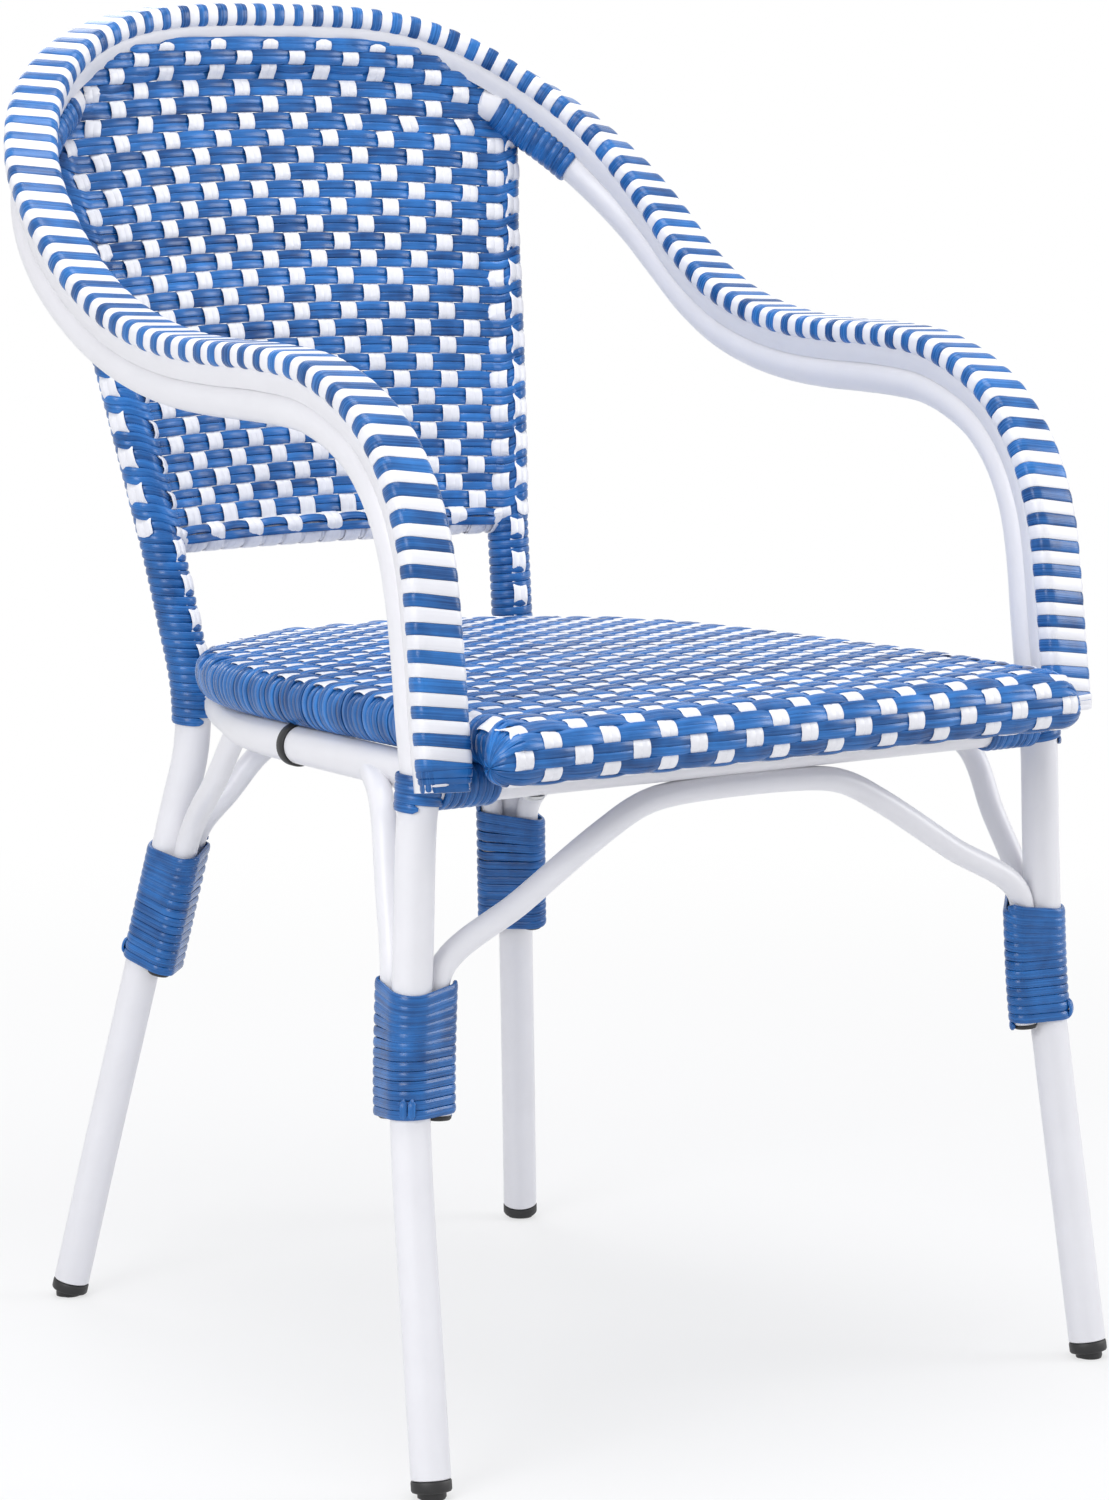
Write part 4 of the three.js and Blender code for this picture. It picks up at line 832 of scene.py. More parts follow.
@dataclass(frozen=True)
class StrandFinish(Finish):
    """The finish of an extruded plastic strand, with painted highlights in its lengthwise stripes."""

    roughness: float = 0.27
    relief: float = 0.00026
    along: float = 9.0
    around: float = 11.0

    def material(self, effects: SharedEffects) -> bpy.types.Material:
        """Builds the material from the shared node groups."""
        made, sheet, shader, out = self.surface(effects.streaks, Along=self.along, Around=self.around)
        tone = sheet.math("MULTIPLY_ADD", out["Tone"], 0.5, -0.9)
        # Lightens the tone in lengthwise stripes: partly the strand's own extruded tone, partly painted
        # highlights along it.
        streak_and_highlight = sheet.math("MULTIPLY_ADD", out["Streak_and_highlight"], 1.3, tone)
        tone = sheet.math("MULTIPLY_ADD", out["Mottle"], 0.9, streak_and_highlight)
        self.shade(sheet, shader, tone, out["Streak_and_highlight"], 0.12, out["Streak_and_highlight"], 0.8)
        shader.inputs["Specular IOR Level"].default_value = 0.4
        return made


@dataclass(frozen=True)
class CoatFinish(Finish):
    """The finish of a coated, moulded or plated surface."""

    fine: float = 900.0
    slow: float = 40.0
    metallic: float = 0.0

    def material(self, effects: SharedEffects) -> bpy.types.Material:
        """Builds the material from the shared node groups."""
        made, sheet, shader, out = self.surface(effects.grain, Fine=self.fine, Slow=self.slow)
        self.shade(sheet, shader, out["Mask"], out["Mask"], 0.14, out["Height"], 0.35)
        shader.inputs["Metallic"].default_value = self.metallic
        return made


class Dresser:
    """Gives every piece its finish, its body and the CAD nodes that it stands for."""

    FINISHES = (
        CoatFinish("white_powder_coat", "white_frame", (0.775, 0.77, 0.8), (0.83, 0.825, 0.855),
                   0.36, 0.00006),
        StrandFinish("blue_extruded_strand", "blue_strand", (0.0025, 0.046, 0.18), (0.03, 0.205, 0.6)),
        StrandFinish("white_extruded_strand", "white_strand", (0.8, 0.8, 0.84), (0.87, 0.87, 0.91),
                     0.33, 0.00012),
        CoatFinish("black_moulded_plastic", "black_plastic", (0.01, 0.01, 0.011), (0.02, 0.02, 0.021),
                   0.5, 0.00008, 1400.0),
        CoatFinish("zinc_plated_steel", "bright_steel", (0.5, 0.51, 0.53), (0.62, 0.63, 0.65), 0.3, 0.00003,
                   1800.0, 120.0, 1.0),
    )

    def __init__(self) -> None:
        """Builds the materials."""
        effects = SharedEffects()
        self.materials = {finish.slot: finish.material(effects) for finish in self.FINISHES}

    def dress(self, builder: MeshBuilder, name: str, slot: str, node: str, crease: float = 42.0) -> None:
        """Makes one piece and dresses it.

        Args:
            builder: the mesh that it is made of.
            name: its name.
            slot: the material slot that it takes its finish from.
            node: the CAD node that it replaces.
            crease: the angle in degrees from which an edge stays sharp.
        """
        piece = builder.make(name, crease)
        piece.data.materials.append(self.materials[slot])
        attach(piece, "root")
        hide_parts(node)
        log.info("%s: %d faces", name, len(piece.data.polygons))


@dataclass
class Assembly:
    """What every sub-assembly of the chair has."""

    lines: ChairLines
    dresser: Dresser


@dataclass
class TubeFrame(Assembly):
    """The white tubes: hoop, arms, seat rails, arches and braces."""

    step: float = 0.005
    front_brace: Triple = (0.2, 0.42, 0.84)
    rear_brace: Triple = (0.42, 0.86, 1.043)
    front_reach: float = 0.092
    rear_reach: float = 0.16
    front_arch_half: float = 0.084
    rear_arch_half: float = 0.056

    def path(self, curve: SmoothCurve, cut: float = 0.0) -> Array:
        """Evenly spaced points of a curve, up to a cut before its end."""
        last = curve.length - cut
        return curve.at(np.linspace(0, last, max(3, int(last / self.step))))

    def tube(self, node: str, points: Array, radius: float) -> None:
        """Makes the tube that replaces a node."""
        builder = MeshBuilder()
        builder.tube(points, radius)
        self.dresser.dress(builder, f"smooth_{node}", "white_frame", node)

    def build(self) -> None:
        """Makes every tube."""
        lines = self.lines
        self.tube("back_hoop", self.path(lines.hoop), lines.tube_radius)
        arm = self.path(lines.arm, 0.004)
        for side in Side:
            self.tube(f"arm_tube_{side.label}", arm * side.flip, lines.tube_radius)
        leg = lines.leg_at_rail
        self.tube("front_seat_rail", np.linspace(leg, leg * Side.LEFT.flip, 40), lines.tube_radius)
        self.tube("seat_rail", self.path(lines.seat_rail), lines.tube_radius)
        self.build_braces()

    def build_braces(self) -> None:
        """Makes the arches and the side braces with their end plugs."""
        lines = self.lines
        rear = lines.seat_rail.at(lines.seat_rail.length / 2)[0]
        front_leg = ("front", lines.arm, lines.front_binding, lines.front_beside)
        rear_leg = ("rear", lines.post, lines.rear_binding, lines.rear_beside)
        arches = ((front_leg, self.front_arch_half, lines.leg_at_rail[1]),
                  (rear_leg, self.rear_arch_half, rear[1]))
        for (row, leg, binding, beside), half, depth in arches:
            curve = lines.arch(leg, binding, beside["middle"], half, depth)
            self.tube(f"{row}_arch", self.path(curve), lines.brace_radius)
            for side in Side:
                self.plug(f"{row}_arch_plug_{side.label}", curve, side)
        for (row, leg, binding, beside), reach, shares in ((front_leg, self.front_reach, self.front_brace),
                                                           (rear_leg, self.rear_reach, self.rear_brace)):
            curve = lines.side_brace(leg, binding, beside["along"], reach, shares)
            for side in Side:
                self.tube(f"side_brace_{row}_{side.label}", self.path(curve) * side.flip, lines.brace_radius)
                self.plug(f"side_brace_{row}_plug_{side.label}", curve, side)

    def plug(self, node: str, curve: SmoothCurve, side: Side) -> None:
        """Makes the end plug of a brace.

        Args:
            node: the CAD node that it replaces.
            curve: the brace's curve, which starts at the plug.
            side: the side that the plug is on.
        """
        foot = curve.at(0)[0] * side.flip
        heading = curve.heading(0)[0] * side.flip
        radius = self.lines.brace_radius
        profile = [(0, -0.0033), (radius * 0.55, -0.0033), (radius - 0.0012, -0.0029),
                   (radius - 0.0003, -0.002), (radius, -0.0012), (radius, -0.0003),
                   (radius - 0.0015, -0.0003), (radius - 0.0015, 0.008), (0, 0.008)]
        builder = MeshBuilder()
        builder.turned(profile, foot, heading, 36)
        self.dresser.dress(builder, f"rounded_{node}", "black_plastic", node)


@dataclass
class Feet(Assembly):
    """The black caps under the four legs."""

    nub_radius: float = 0.009
    nub_height: float = 0.0036
    stem_radius: float = 0.0095

    def build(self) -> None:
        """Makes the four caps."""
        for row, knots in (("front", self.lines.legs), ("rear", self.lines.posts)):
            for side in Side:
                self.cap(f"foot_cap_{row}_{side.label}", knots[:2] * side.flip)

    def cap(self, node: str, knots: Array) -> None:
        """Makes one cap, cut level where it meets the floor.

        Args:
            node: the CAD node that it replaces.
            knots: the foot's point on the floor and a point above it.
        """
        heading = unit(knots[1] - knots[0])
        tilt = math.sqrt(1 - heading[2] ** 2) / heading[2]
        collar, top = self.lines.tube_radius, self.lines.cap_height
        nub, low = self.nub_radius, self.nub_height
        sole = -nub * tilt - 0.0004
        profile = [(0, sole), (nub * 0.9, sole), (nub, 0.0006), (nub, low - 0.0008),
                   (nub + 0.0006, low), (collar - 0.0014, low), (collar - 0.0004, low + 0.0004),
                   (collar + 0.0002, low + 0.0014), (collar + 0.0002, top - 0.0012),
                   (collar - 0.0002, top - 0.0003), (collar - 0.0012, top), (self.stem_radius, top),
                   (self.stem_radius, top + 0.018), (0, top + 0.018)]
        builder = MeshBuilder()
        builder.turned(profile, knots[0], heading, 56)
        points = builder.points[0]
        points[:, 2] = np.maximum(points[:, 2], 0)
        self.dresser.dress(builder, f"rounded_{node}", "black_plastic", node)


@dataclass
class HandRail(Assembly):
    """The flat hand rail: its white core with the bead, the wound strips and their tucked ends."""

    strips: int = 239
    corner: float = 0.0062
    strip_depth: float = 0.0014
    crown: float = 0.00052
    slant: float = 0.135
    end_strips: Pair = (0.0105, 0.005)
    seam: float = 0.00022
    waviness: float = 0.0003
    bead_half: float = 0.0145
    seed: int = 11

    def section(self) -> tuple[Array, Array]:
        """The outside of the wound section, from one side of the bead round to the other.

        Returns:
            Pairs across and outward, and the outward direction at each.
        """
        low = -self.lines.rail_thickness / 2
        wide, tall = self.lines.rail_width / 2 - self.corner, -low - self.corner
        foot = self.bead_half - 0.002

        def flat(start: float, end: float, level: float, count: int) -> Array:
            """Places on a flat, with their outward directions."""
            places = np.linspace(start, end, count, endpoint=False)
            return np.array([(x, level, 0, np.sign(level)) for x in places])

        def bend(across: float, outward: float, first: float, count: int) -> Array:
            """Places round a corner, with their outward directions."""
            angle = np.radians(np.linspace(first, first - 90, count))
            facing = turned_round(angle, np.array([1, 0]), np.array([0, 1]))
            return np.hstack([np.array([across, outward]) + facing * self.corner, facing])

        rows = np.vstack([flat(-foot, -wide, low, 2), bend(-wide, -tall, 270, 6),
                          bend(-wide, tall, 180, 7), flat(0.002 - wide, wide, -low, 8),
                          bend(wide, tall, 90, 7), bend(wide, -tall, 0, 6), flat(foot, foot, low, 1)])
        return rows[:, :2], rows[:, 2:]

    def build(self) -> None:
        """Makes the core, the strips and the tucked ends."""
        self.build_core()
        self.build_strips()
        for side in Side:
            self.build_tuck(side)

    def placed(self, along: Array, across: Array, outward: Array) -> Array:
        """Points by their distance along the rail and their places in its section."""
        shape = along.shape
        point, _, up, wide = self.lines.rail_frame(along.ravel())
        found = point + wide * across.reshape(-1, 1) + up * outward.reshape(-1, 1)
        return found.reshape(shape + (3,))

    def build_core(self) -> None:
        """Makes the flat bar with the rounded bead that saddles the tube."""
        lines = self.lines
        low, bead = -lines.rail_thickness / 2, self.bead_half
        half = lines.rail_width / 2 - self.strip_depth - 0.0004
        top = -low - self.strip_depth - 0.0004
        bevel = 0.003
        saddle = np.radians(np.linspace(46, -46, 15))
        reach = lines.tube_radius + lines.joint_gap
        arc = np.stack([np.sin(saddle) * reach, np.cos(saddle) * reach - lines.rail_offset], axis=1)
        right = np.array([
            (half - bevel, top), (half, top - bevel), (half, low + bevel), (half - bevel, low + 0.0012),
            (bead - 0.0004, low + 0.001), (bead, low - 0.0006), (bead - 0.0002, low - 0.003),
            (bead - 0.0011, low - 0.0062), (bead - 0.0026, low - 0.0092),
            (arc[0][0] + 0.001, arc[0][1] - 0.0003)])
        outline = np.vstack([right, arc, right[::-1] * np.array([-1, 1])])
        along = np.linspace(lines.rail_end - 0.0032, lines.rail.length - (lines.rail_end - 0.0125), 460)
        along, across = np.meshgrid(along, outline[:, 0], indexing="ij")
        builder = MeshBuilder()
        builder.grid(self.placed(along, across, np.broadcast_to(outline[:, 1], along.shape)), 0.5)
        self.dresser.dress(builder, "smooth_rail_core", "white_frame", "rail_core", 50)

    def edge(self, count: int, seeded: np.random.Generator) -> Array:
        """How far one boundary between two strips strays along the rail at each point of the section."""
        walk = np.linspace(0, 1, count)
        strays = seeded.normal(0, self.waviness, 3)
        return strays[0] + strays[1] * (walk - 0.5) + 0.5 * strays[2] * np.sin(2 * np.pi * walk)

    def build_strips(self) -> None:
        """Makes the blue and the white strips, each one closed body."""
        lines = self.lines
        seeded = np.random.default_rng(self.seed)
        places, normals = self.section()
        count = len(places)
        near, far = self.end_strips
        covered = lines.rail.length - 2 * lines.rail_end
        edge_at = np.linspace(near, covered - far, self.strips - 1)
        edge_at = lines.rail_end + np.concatenate([[0.0], edge_at, [covered]])
        slants = np.full(self.strips + 1, -self.slant)
        slants[[0, -1]] = 0.0
        edges = [self.edge(count, seeded) for _ in range(self.strips + 1)]
        share = np.array([0.0, 0.05, 0.16, 0.33, 0.5, 0.67, 0.84, 0.95, 1.0])
        height = self.crown * np.sin(np.pi * share) ** 0.55 - 0.0003
        builders = {"blue": MeshBuilder(5), "white": MeshBuilder(6)}
        for strip in range(self.strips):
            first, last = (edge_at[at] + slants[at] * places[:, 0] + edges[at] + seam
                           for at, seam in ((strip, self.seam / 2), (strip + 1, -self.seam / 2)))
            along = first[:, None] + (last - first)[:, None] * share
            lift = height + seeded.normal(0, 0.00007)
            under = np.full(2, -self.strip_depth)
            along = np.hstack([along, last[:, None], first[:, None]])
            depth = np.tile(np.concatenate([lift, under]), (count, 1))
            across = places[:, :1] + normals[:, :1] * depth
            outward = places[:, 1:] + normals[:, 1:] * depth
            rows = self.placed(along, across, outward)
            builders["blue" if strip % 2 == 0 else "white"].grid(rows)
        for colour, builder in builders.items():
            self.dresser.dress(builder, f"{colour}_rail_strips", f"{colour}_strand", "rail_strip_cover", 60)

    def build_tuck(self, side: Side) -> None:
        """Makes the layered strip ends that close one lower end of the rail."""
        lines = self.lines
        end = lines.rail_end
        layers = ((0.0006, 0.0009), (0.0003, 0.0003), (-0.0006, 0.0), (-0.0034, 0.0001), (-0.0043, 0.0005),
                  (-0.0046, 0.001), (-0.005, 0.0006), (-0.0074, 0.0007), (-0.0082, 0.0011),
                  (-0.0085, 0.0013), (-0.0089, 0.0013), (-0.011, 0.0012), (-0.0126, 0.0014),
                  (-0.0133, 0.0018), (-0.0136, 0.0028))
        rows = []
        short = side is Side.RIGHT
        for step, inset in layers:
            if short:
                step, inset = step * 0.7 + 0.0062, inset * 0.4 - 0.0005
            tall = lines.rail_thickness / 2 - inset
            ring = rounded_box(lines.rail_width / 2 - inset, tall, min(self.corner, tall * 0.95), 7)
            slant = 0.0007 * ring[:, 0] / 0.018 + 0.0001 * np.sin(ring[:, 0] * 260 + step * 900)
            along = np.full(len(ring), end + step) + slant * min(1.0, abs(step) / 0.004)
            rows.append(self.placed(along, ring[:, 0], ring[:, 1]))
        builder = MeshBuilder(21)
        builder.grid(np.array(rows) * side.flip, tone=0.35)
        node = f"rail_end_tuck_{side.label}"
        if not short:
            wide = np.linspace(0.0135, 0.002, 12)
            level = np.full(12, end - 0.0086)
            lead = self.placed(level, wide, np.full(12, lines.rail_thickness / 2 - 0.0007))
            low = self.placed(level, wide, np.zeros(12))
            slip = MeshBuilder(22, StrandShape.TAPE.outline(0.0016, 0.0011))
            slip.lay(lead * side.flip, unit(lead - low) * side.flip, 0.002)
            self.dresser.dress(slip, f"white_slip_of_{node}", "white_strand", node)
        slot = "white_strand" if short else "blue_strand"
        self.dresser.dress(builder, f"folded_{node}", slot, node, 28)


@dataclass
class BackPanel(Assembly):
    """The woven back: blue pairs across, white strands down, and the white-wrapped bar below them."""

    pitch: float = 0.0124
    middle_row: float = 0.7575
    rows: tuple[int, int] = (-11, 17)
    half_strands: int = 8
    inset: float = 0.0115
    reach: float = 0.0139
    pair: float = 0.00302
    blue_lift: float = 0.0011
    white_lift: float = 0.0021
    white_width: float = 0.013
    forward: float = 0.0045
    side_forward: float = 0.0055
    bead_edge: float = 0.0132
    post_top: float = 0.815
    wrap_turn: float = 235.0
    bar_reach: float = 0.0112
    wrap_rise: float = 0.0062
    strip_angles: Pair = (12.0, 66.0)
    behind_from: float = -0.0133

    def __post_init__(self) -> None:
        """Samples the hoop in the plane of the panel."""
        hoop = self.lines.hoop
        along = np.linspace(0, hoop.length, 1600)
        points, headings = hoop.at(along), hoop.heading(along)
        keep = points[:, 2] > 0.5
        self.axis = points[keep]
        flat = unit(headings[keep][:, [0, 2]])
        self.out = np.stack([flat[:, 1], -flat[:, 0]], axis=1)
        right = self.axis[: len(self.axis) // 2]
        self.post = right[right[:, 2] < 0.86]
        self.arch = right[int(np.argmax(right[:, 2] > self.lines.panel_edge_top)):][::-1]
        self.marks = np.arange(-12.0, 19.0, 0.25)
        self.heights = self.height_of(self.marks)

    def height_of(self, row: Array) -> Array:
        """The height of a row at the chair's middle."""
        crowded = np.maximum(0, -row - 6) ** 3 * 0.000052
        return self.middle_row - self.pitch * row - crowded - 0.0016 * ease((-row - 3) / 5)

    def bow(self, height: Array, across: Array) -> Array:
        """How far a row hangs lower at its sides."""
        return np.interp(height, (0.557, 0.8), (0.0035, 0.0065)) * (across / 0.175) ** 2

    def row_of(self, across: Array, height: Array) -> Array:
        """The row that passes a place, with its fraction."""
        level = height + self.bow(height, across)
        return np.interp(-level, -self.heights, self.marks)

    def post_across(self, height: Array) -> Array:
        """How far from the chair's middle the post's axis lies."""
        return np.interp(np.minimum(height, 0.83), self.post[:, 2], self.post[:, 0])

    def distance(self, across: Array, height: Array) -> tuple[Array, Array]:
        """How far places lie outside the hoop's axis, and the depth of the axis there."""
        out, near = past_axis(across, height, self.axis[:, [0, 2]], self.out)
        return out, self.axis[near, 1]

    def plane(self, across: Array, height: Array) -> Array:
        """The depth of the panel's middle between the posts, the arch and the crossbar."""
        lines = self.lines
        share = np.clip(across / self.post_across(height), -1, 1)
        low = lines.cross_right[1] + lines.crossbar_bow * (1 - share ** 2)
        reach = abs(share) * self.arch[-1, 0]
        top = np.interp(reach, self.arch[:, 0], self.arch[:, 2])
        high = np.interp(reach, self.arch[:, 0], self.arch[:, 1])
        rise = np.clip((height - lines.crossbar_height) / (top - lines.crossbar_height), 0, 1.1)
        return low + (high - low) * rise

    def front(self, across: Array, height: Array) -> Array:
        """The depth of the weave's front surface, over the tube where it meets it."""
        out, axis = self.distance(across, height)
        inside = np.sqrt(np.maximum(self.reach ** 2 - out ** 2, 0))
        tube = axis - inside + np.maximum(abs(out) - self.reach, 0) * 2.5
        tube = np.where(out > 0, axis - self.reach + out * 0.04, tube)
        bar_gap = height - self.lines.crossbar_height
        share = np.clip(across / self.lines.cross_right[0], -1, 1)
        plane = self.plane(across, height) - self.forward - self.side_forward * abs(share) ** 2.5
        bar = self.lines.cross_right[1] + self.lines.crossbar_bow * (1 - share ** 2)
        bar = bar - np.sqrt(np.maximum(self.bar_reach ** 2 - bar_gap ** 2, 0))
        plane = np.where(abs(bar_gap) < self.bar_reach, np.minimum(plane, bar), plane)
        soft = 0.0022
        merged = np.minimum(tube, plane) - soft * np.log1p(np.exp(-abs(tube - plane) / soft))
        return np.where(out > 0, tube, merged + soft * np.exp(-abs(tube - plane) / soft) * 0.3)

    def rear(self, across: Array, height: Array) -> Array:
        """The depth of the weave behind the hoop's tube."""
        out, axis = self.distance(across, height)
        return axis + np.sqrt(np.maximum(self.reach ** 2 - out ** 2, 1e-8))

    def on_surface(self, across: Array, height: Array, lift: Array,
                   behind: bool = False) -> tuple[Array, Array]:
        """Points raised from the weave's surface.

        Args:
            across: their places across the chair.
            height: their heights.
            lift: how far they are raised.
            behind: whether they lie behind the hoop.
        Returns:
            The points and the directions square to the surface.
        """
        surface = self.rear if behind else self.front
        small, steepest = 0.0006, 2.5
        depth = surface(across, height)
        over = (surface(across + small, height) - surface(across - small, height)) / (2 * small)
        up = (surface(across, height + small) - surface(across, height - small)) / (2 * small)
        over, up = np.clip((over, up), -steepest, steepest)
        normal = unit(np.stack([over, -np.ones_like(over), up], axis=1))
        if behind:
            normal = -normal
        return np.stack([across, depth, height], axis=1) + normal * lift[:, None], normal

    def rise(self, past: Array) -> Array:
        """How far a pair climbs as it goes round a post, by its way past the outermost white strand."""
        return self.wrap_rise * (ease(past / 0.02) + ease((past - 0.02) / 0.04))

    def blue_wave(self, place: Array, row: float) -> Array:
        """How far a pair stands out where it passes a place across."""
        fade = 1 - ease((abs(place) - self.half_strands - 0.25) / 0.5)
        return self.blue_lift * flat_wave(np.pi * (place + row), 1.3) * fade

    def build(self) -> None:
        """Makes the strands, the strips on the posts and the crossbar with its wrap."""
        blue = MeshBuilder(31, StrandShape.OVAL.outline(0.0062, 0.0026))
        white = MeshBuilder(32, StrandShape.TAPE.outline(self.white_width, 0.0013))
        for row in range(self.rows[0], self.rows[1] + 1):
            for offset in (-self.pair, self.pair):
                self.blue_row(blue, row, offset)
        for place in range(-self.half_strands, self.half_strands + 1):
            self.white_strand(white, place)
        for side, angle in zip(Side, self.strip_angles):
            self.post_strip(white, side, angle)
        self.dresser.dress(blue, "woven_back_blue_pairs", "blue_strand", "woven_back")
        self.dresser.dress(white, "woven_back_white_strands", "white_strand", "woven_back")
        self.build_crossbar()

    def blue_row(self, builder: MeshBuilder, row: int, offset: float) -> None:
        """Adds one strand of a pair, from post to post.

        Args:
            builder: the mesh.
            row: the row.
            offset: how far above the row's middle it runs.
        """
        level = float(self.height_of(np.array([float(row)]))[0])
        squeeze = min(1.0, abs(float(self.height_of(np.array([row - 1.0]))[0]) - level) / self.pitch)
        across = np.arange(-0.215, 0.2151, 0.0022)
        height = level - self.bow(level, across) + offset * squeeze
        out, _ = self.distance(across, height)
        side_height = float(np.interp(0.185, across, height))
        wraps = side_height < self.post_top
        limit = 0.0 if wraps else self.bead_edge
        middle = len(across) // 2
        last = middle + int(np.argmax(out[middle:] > limit)) - 1
        edge = float(np.interp(limit, out[last:last + 2], across[last:last + 2]))
        count = max(8, int(2 * edge / STRAND_STEP))
        across = np.linspace(-edge, edge, count)
        height = level - self.bow(level, across) + offset * squeeze
        inner = self.post_across(height) - self.inset
        if wraps:
            height = height + self.rise(np.maximum(0, abs(across) - inner))
        place = self.place_of(across, level)
        points, normals = self.on_surface(across, height, self.blue_wave(place, row))
        if wraps:
            left = self.wrap_points(float(height[0]), Side.LEFT, row)
            right = self.wrap_points(float(height[-1]), Side.RIGHT, row)
            points, normals = joined(left, (points, normals), right)
        builder.lay(points, normals, 0.004)
        if not wraps:
            self.rear_row(builder, row, level, offset * squeeze)

    def wrap_points(self, height: float, side: Side, row: int) -> tuple[Array, Array]:
        """The way of a strand round a post.

        Args:
            height: its height at the post's front.
            side: the post.
            row: the strand's row.
        Returns:
            The points and the outward directions.
        """
        angle = np.radians(np.arange(7.0, self.wrap_turn, 9.0))
        past = self.inset + self.reach * angle
        level = height + self.rise(past) - self.rise(np.array([self.inset]))
        axis = looked_up(level, self.post[:, 2], self.post[:, :2])
        strip = math.radians(self.strip_angles[0 if side is Side.RIGHT else 1])
        window = np.exp(-((angle - strip) / 0.5) ** 2)
        under = 1.0 if row % 2 else -1.0
        lift = window * (0.0005 - under * 0.001) - 0.0012 * ease((np.degrees(angle) - 215) / 20)
        outward = np.stack([np.sin(angle), -np.cos(angle), np.zeros_like(angle)], axis=1)
        points = np.column_stack([axis, level]) + outward * (self.reach + lift)[:, None]
        return points * side.flip, outward * side.flip

    def rear_row(self, builder: MeshBuilder, row: int, level: float, offset: float) -> None:
        """Adds the parts of a row that lie behind the arch."""
        across = np.arange(-0.205, 0.2051, 0.0022)
        height = level - self.bow(level, across) + offset
        out, _ = self.distance(across, height)
        covered = (out > self.behind_from) & (out < self.bead_edge)
        wave = self.blue_wave(self.place_of(across, level), row)
        for start, end in zip(*(np.nonzero(covered & ~np.roll(covered, step))[0] for step in (1, -1))):
            if end - start >= 4:
                run = slice(start, end + 1)
                self.lay_behind(builder, across[run], height[run], out[run], wave[run], 0.003)

    def lay_behind(self, builder: MeshBuilder, across: Array, height: Array, out: Array, wave: Array,
                   taper: float) -> None:
        """Adds the part of a strand that lies behind the arch.

        Args:
            builder: the mesh.
            across: its places across the chair.
            height: its heights.
            out: how far it lies outside the hoop's axis.
            wave: how far it stands out in front.
            taper: the length over which its ends grow thin.
        """
        sink = 0.0016 * ease((-out - 0.009) / 0.0043)
        builder.lay(*self.on_surface(across, height, -wave - sink, behind=True), taper)

    def fan(self, height: Array) -> tuple[Array, Array]:
        """How much the white strands spread towards the top, and how far they shift to the left."""
        share = ease((height - 0.77) / 0.08)
        return 1 + 0.03 * share, 0.0035 * share

    def place_of(self, across: Array, level: float) -> Array:
        """The place among the white strands, with its fraction, of points at one level."""
        spread, shift = self.fan(level)
        return (across + shift) / spread / (self.post_across(level) - self.inset) * self.half_strands

    def white_wave(self, place: float, row: Array) -> Array:
        """How far a white strand stands out where it passes a row."""
        return -self.white_lift * flat_wave(np.pi * (place + row), 4.2)

    def white_strand(self, builder: MeshBuilder, place: int) -> None:
        """Adds one white strand, from the bead over the panel and round the crossbar.

        Args:
            builder: the mesh.
            place: its place, counted from the chair's middle.
        """
        lines = self.lines
        height = np.arange(0.905, 0.544, -0.0016)
        spread, shift = self.fan(height)
        across = place * (self.post_across(height) - self.inset) / self.half_strands * spread - shift
        out, _ = self.distance(across, height)
        keep = (out < self.bead_edge) | (height < 0.8)
        keep = keep & ((height < 0.822) | (place < self.half_strands))
        across, height, out = across[keep], height[keep], out[keep]
        row = self.row_of(across, height)
        points, normals = self.on_surface(across, height, self.white_wave(place, row))
        centre = lines.crossbar(across[-1] / lines.cross_right[0])[0]
        turn = np.radians(np.arange(-8, -205, -11.0))
        outward = np.stack([np.zeros_like(turn), -np.cos(turn), np.sin(turn)], axis=1)
        sink = 0.0008 * ease((-np.degrees(turn) - 150) / 50)
        bar = centre + outward * (0.0101 - sink)[:, None]
        points, normals = np.vstack([points, bar]), np.vstack([normals, outward])
        builder.lay(settled(points), normals, 0.002)
        behind = (out > self.behind_from) & (out < self.bead_edge) & (height > 0.8)
        if behind.sum() > 5:
            wave = self.white_wave(place, row[behind])
            self.lay_behind(builder, across[behind], height[behind], out[behind], wave, 0.002)

    def post_strip(self, builder: MeshBuilder, side: Side, degrees: float) -> None:
        """Adds the white strand that is woven into the turns round a post.

        Args:
            builder: the mesh.
            side: the post.
            degrees: its place round the post, from the front outward.
        """
        height = np.arange(self.post_top + 0.002, 0.545, -0.0014)
        angle = math.radians(degrees)
        axis = looked_up(height, self.post[:, 2], self.post[:, :2])
        past = np.array([self.inset + self.reach * angle])
        climbed = height - self.rise(past)
        row = self.row_of(np.full_like(height, 0.165), climbed)
        lift = 0.00055 - 0.00125 * flat_wave(np.pi * row, 1.9)
        outward = np.tile([math.sin(angle), -math.cos(angle), 0], (len(height), 1))
        points = np.column_stack([axis, height]) + outward * (self.reach + lift)[:, None]
        builder.lay(points * side.flip, outward * side.flip, 0.002)

    def build_crossbar(self) -> None:
        """Makes the bowed bar and the white strand wound round it."""
        lines = self.lines
        bar = MeshBuilder()
        bar.tube(lines.crossbar(np.linspace(-1, 1, 80)), 0.008)
        self.dresser.dress(bar, "smooth_back_crossbar", "white_frame", "back_crossbar")
        wrap = MeshBuilder(41, StrandShape.HALF_ROUND.outline(0.0066, 0.0014))
        end = 1 - 0.014 / lines.cross_right[0]
        turns = 2 * end * lines.cross_right[0] / 0.0068
        count = int(turns * 22)
        share = np.linspace(-end, end, count)
        angle = np.linspace(0, 2 * np.pi * turns, count)
        outward = np.stack([np.zeros(count), -np.cos(angle), -np.sin(angle)], axis=1)
        wrap.lay(lines.crossbar(share) + outward * 0.00875, outward, tone=0.5)
        self.dresser.dress(wrap, "wound_crossbar_wrap", "white_strand", "crossbar_wrap")


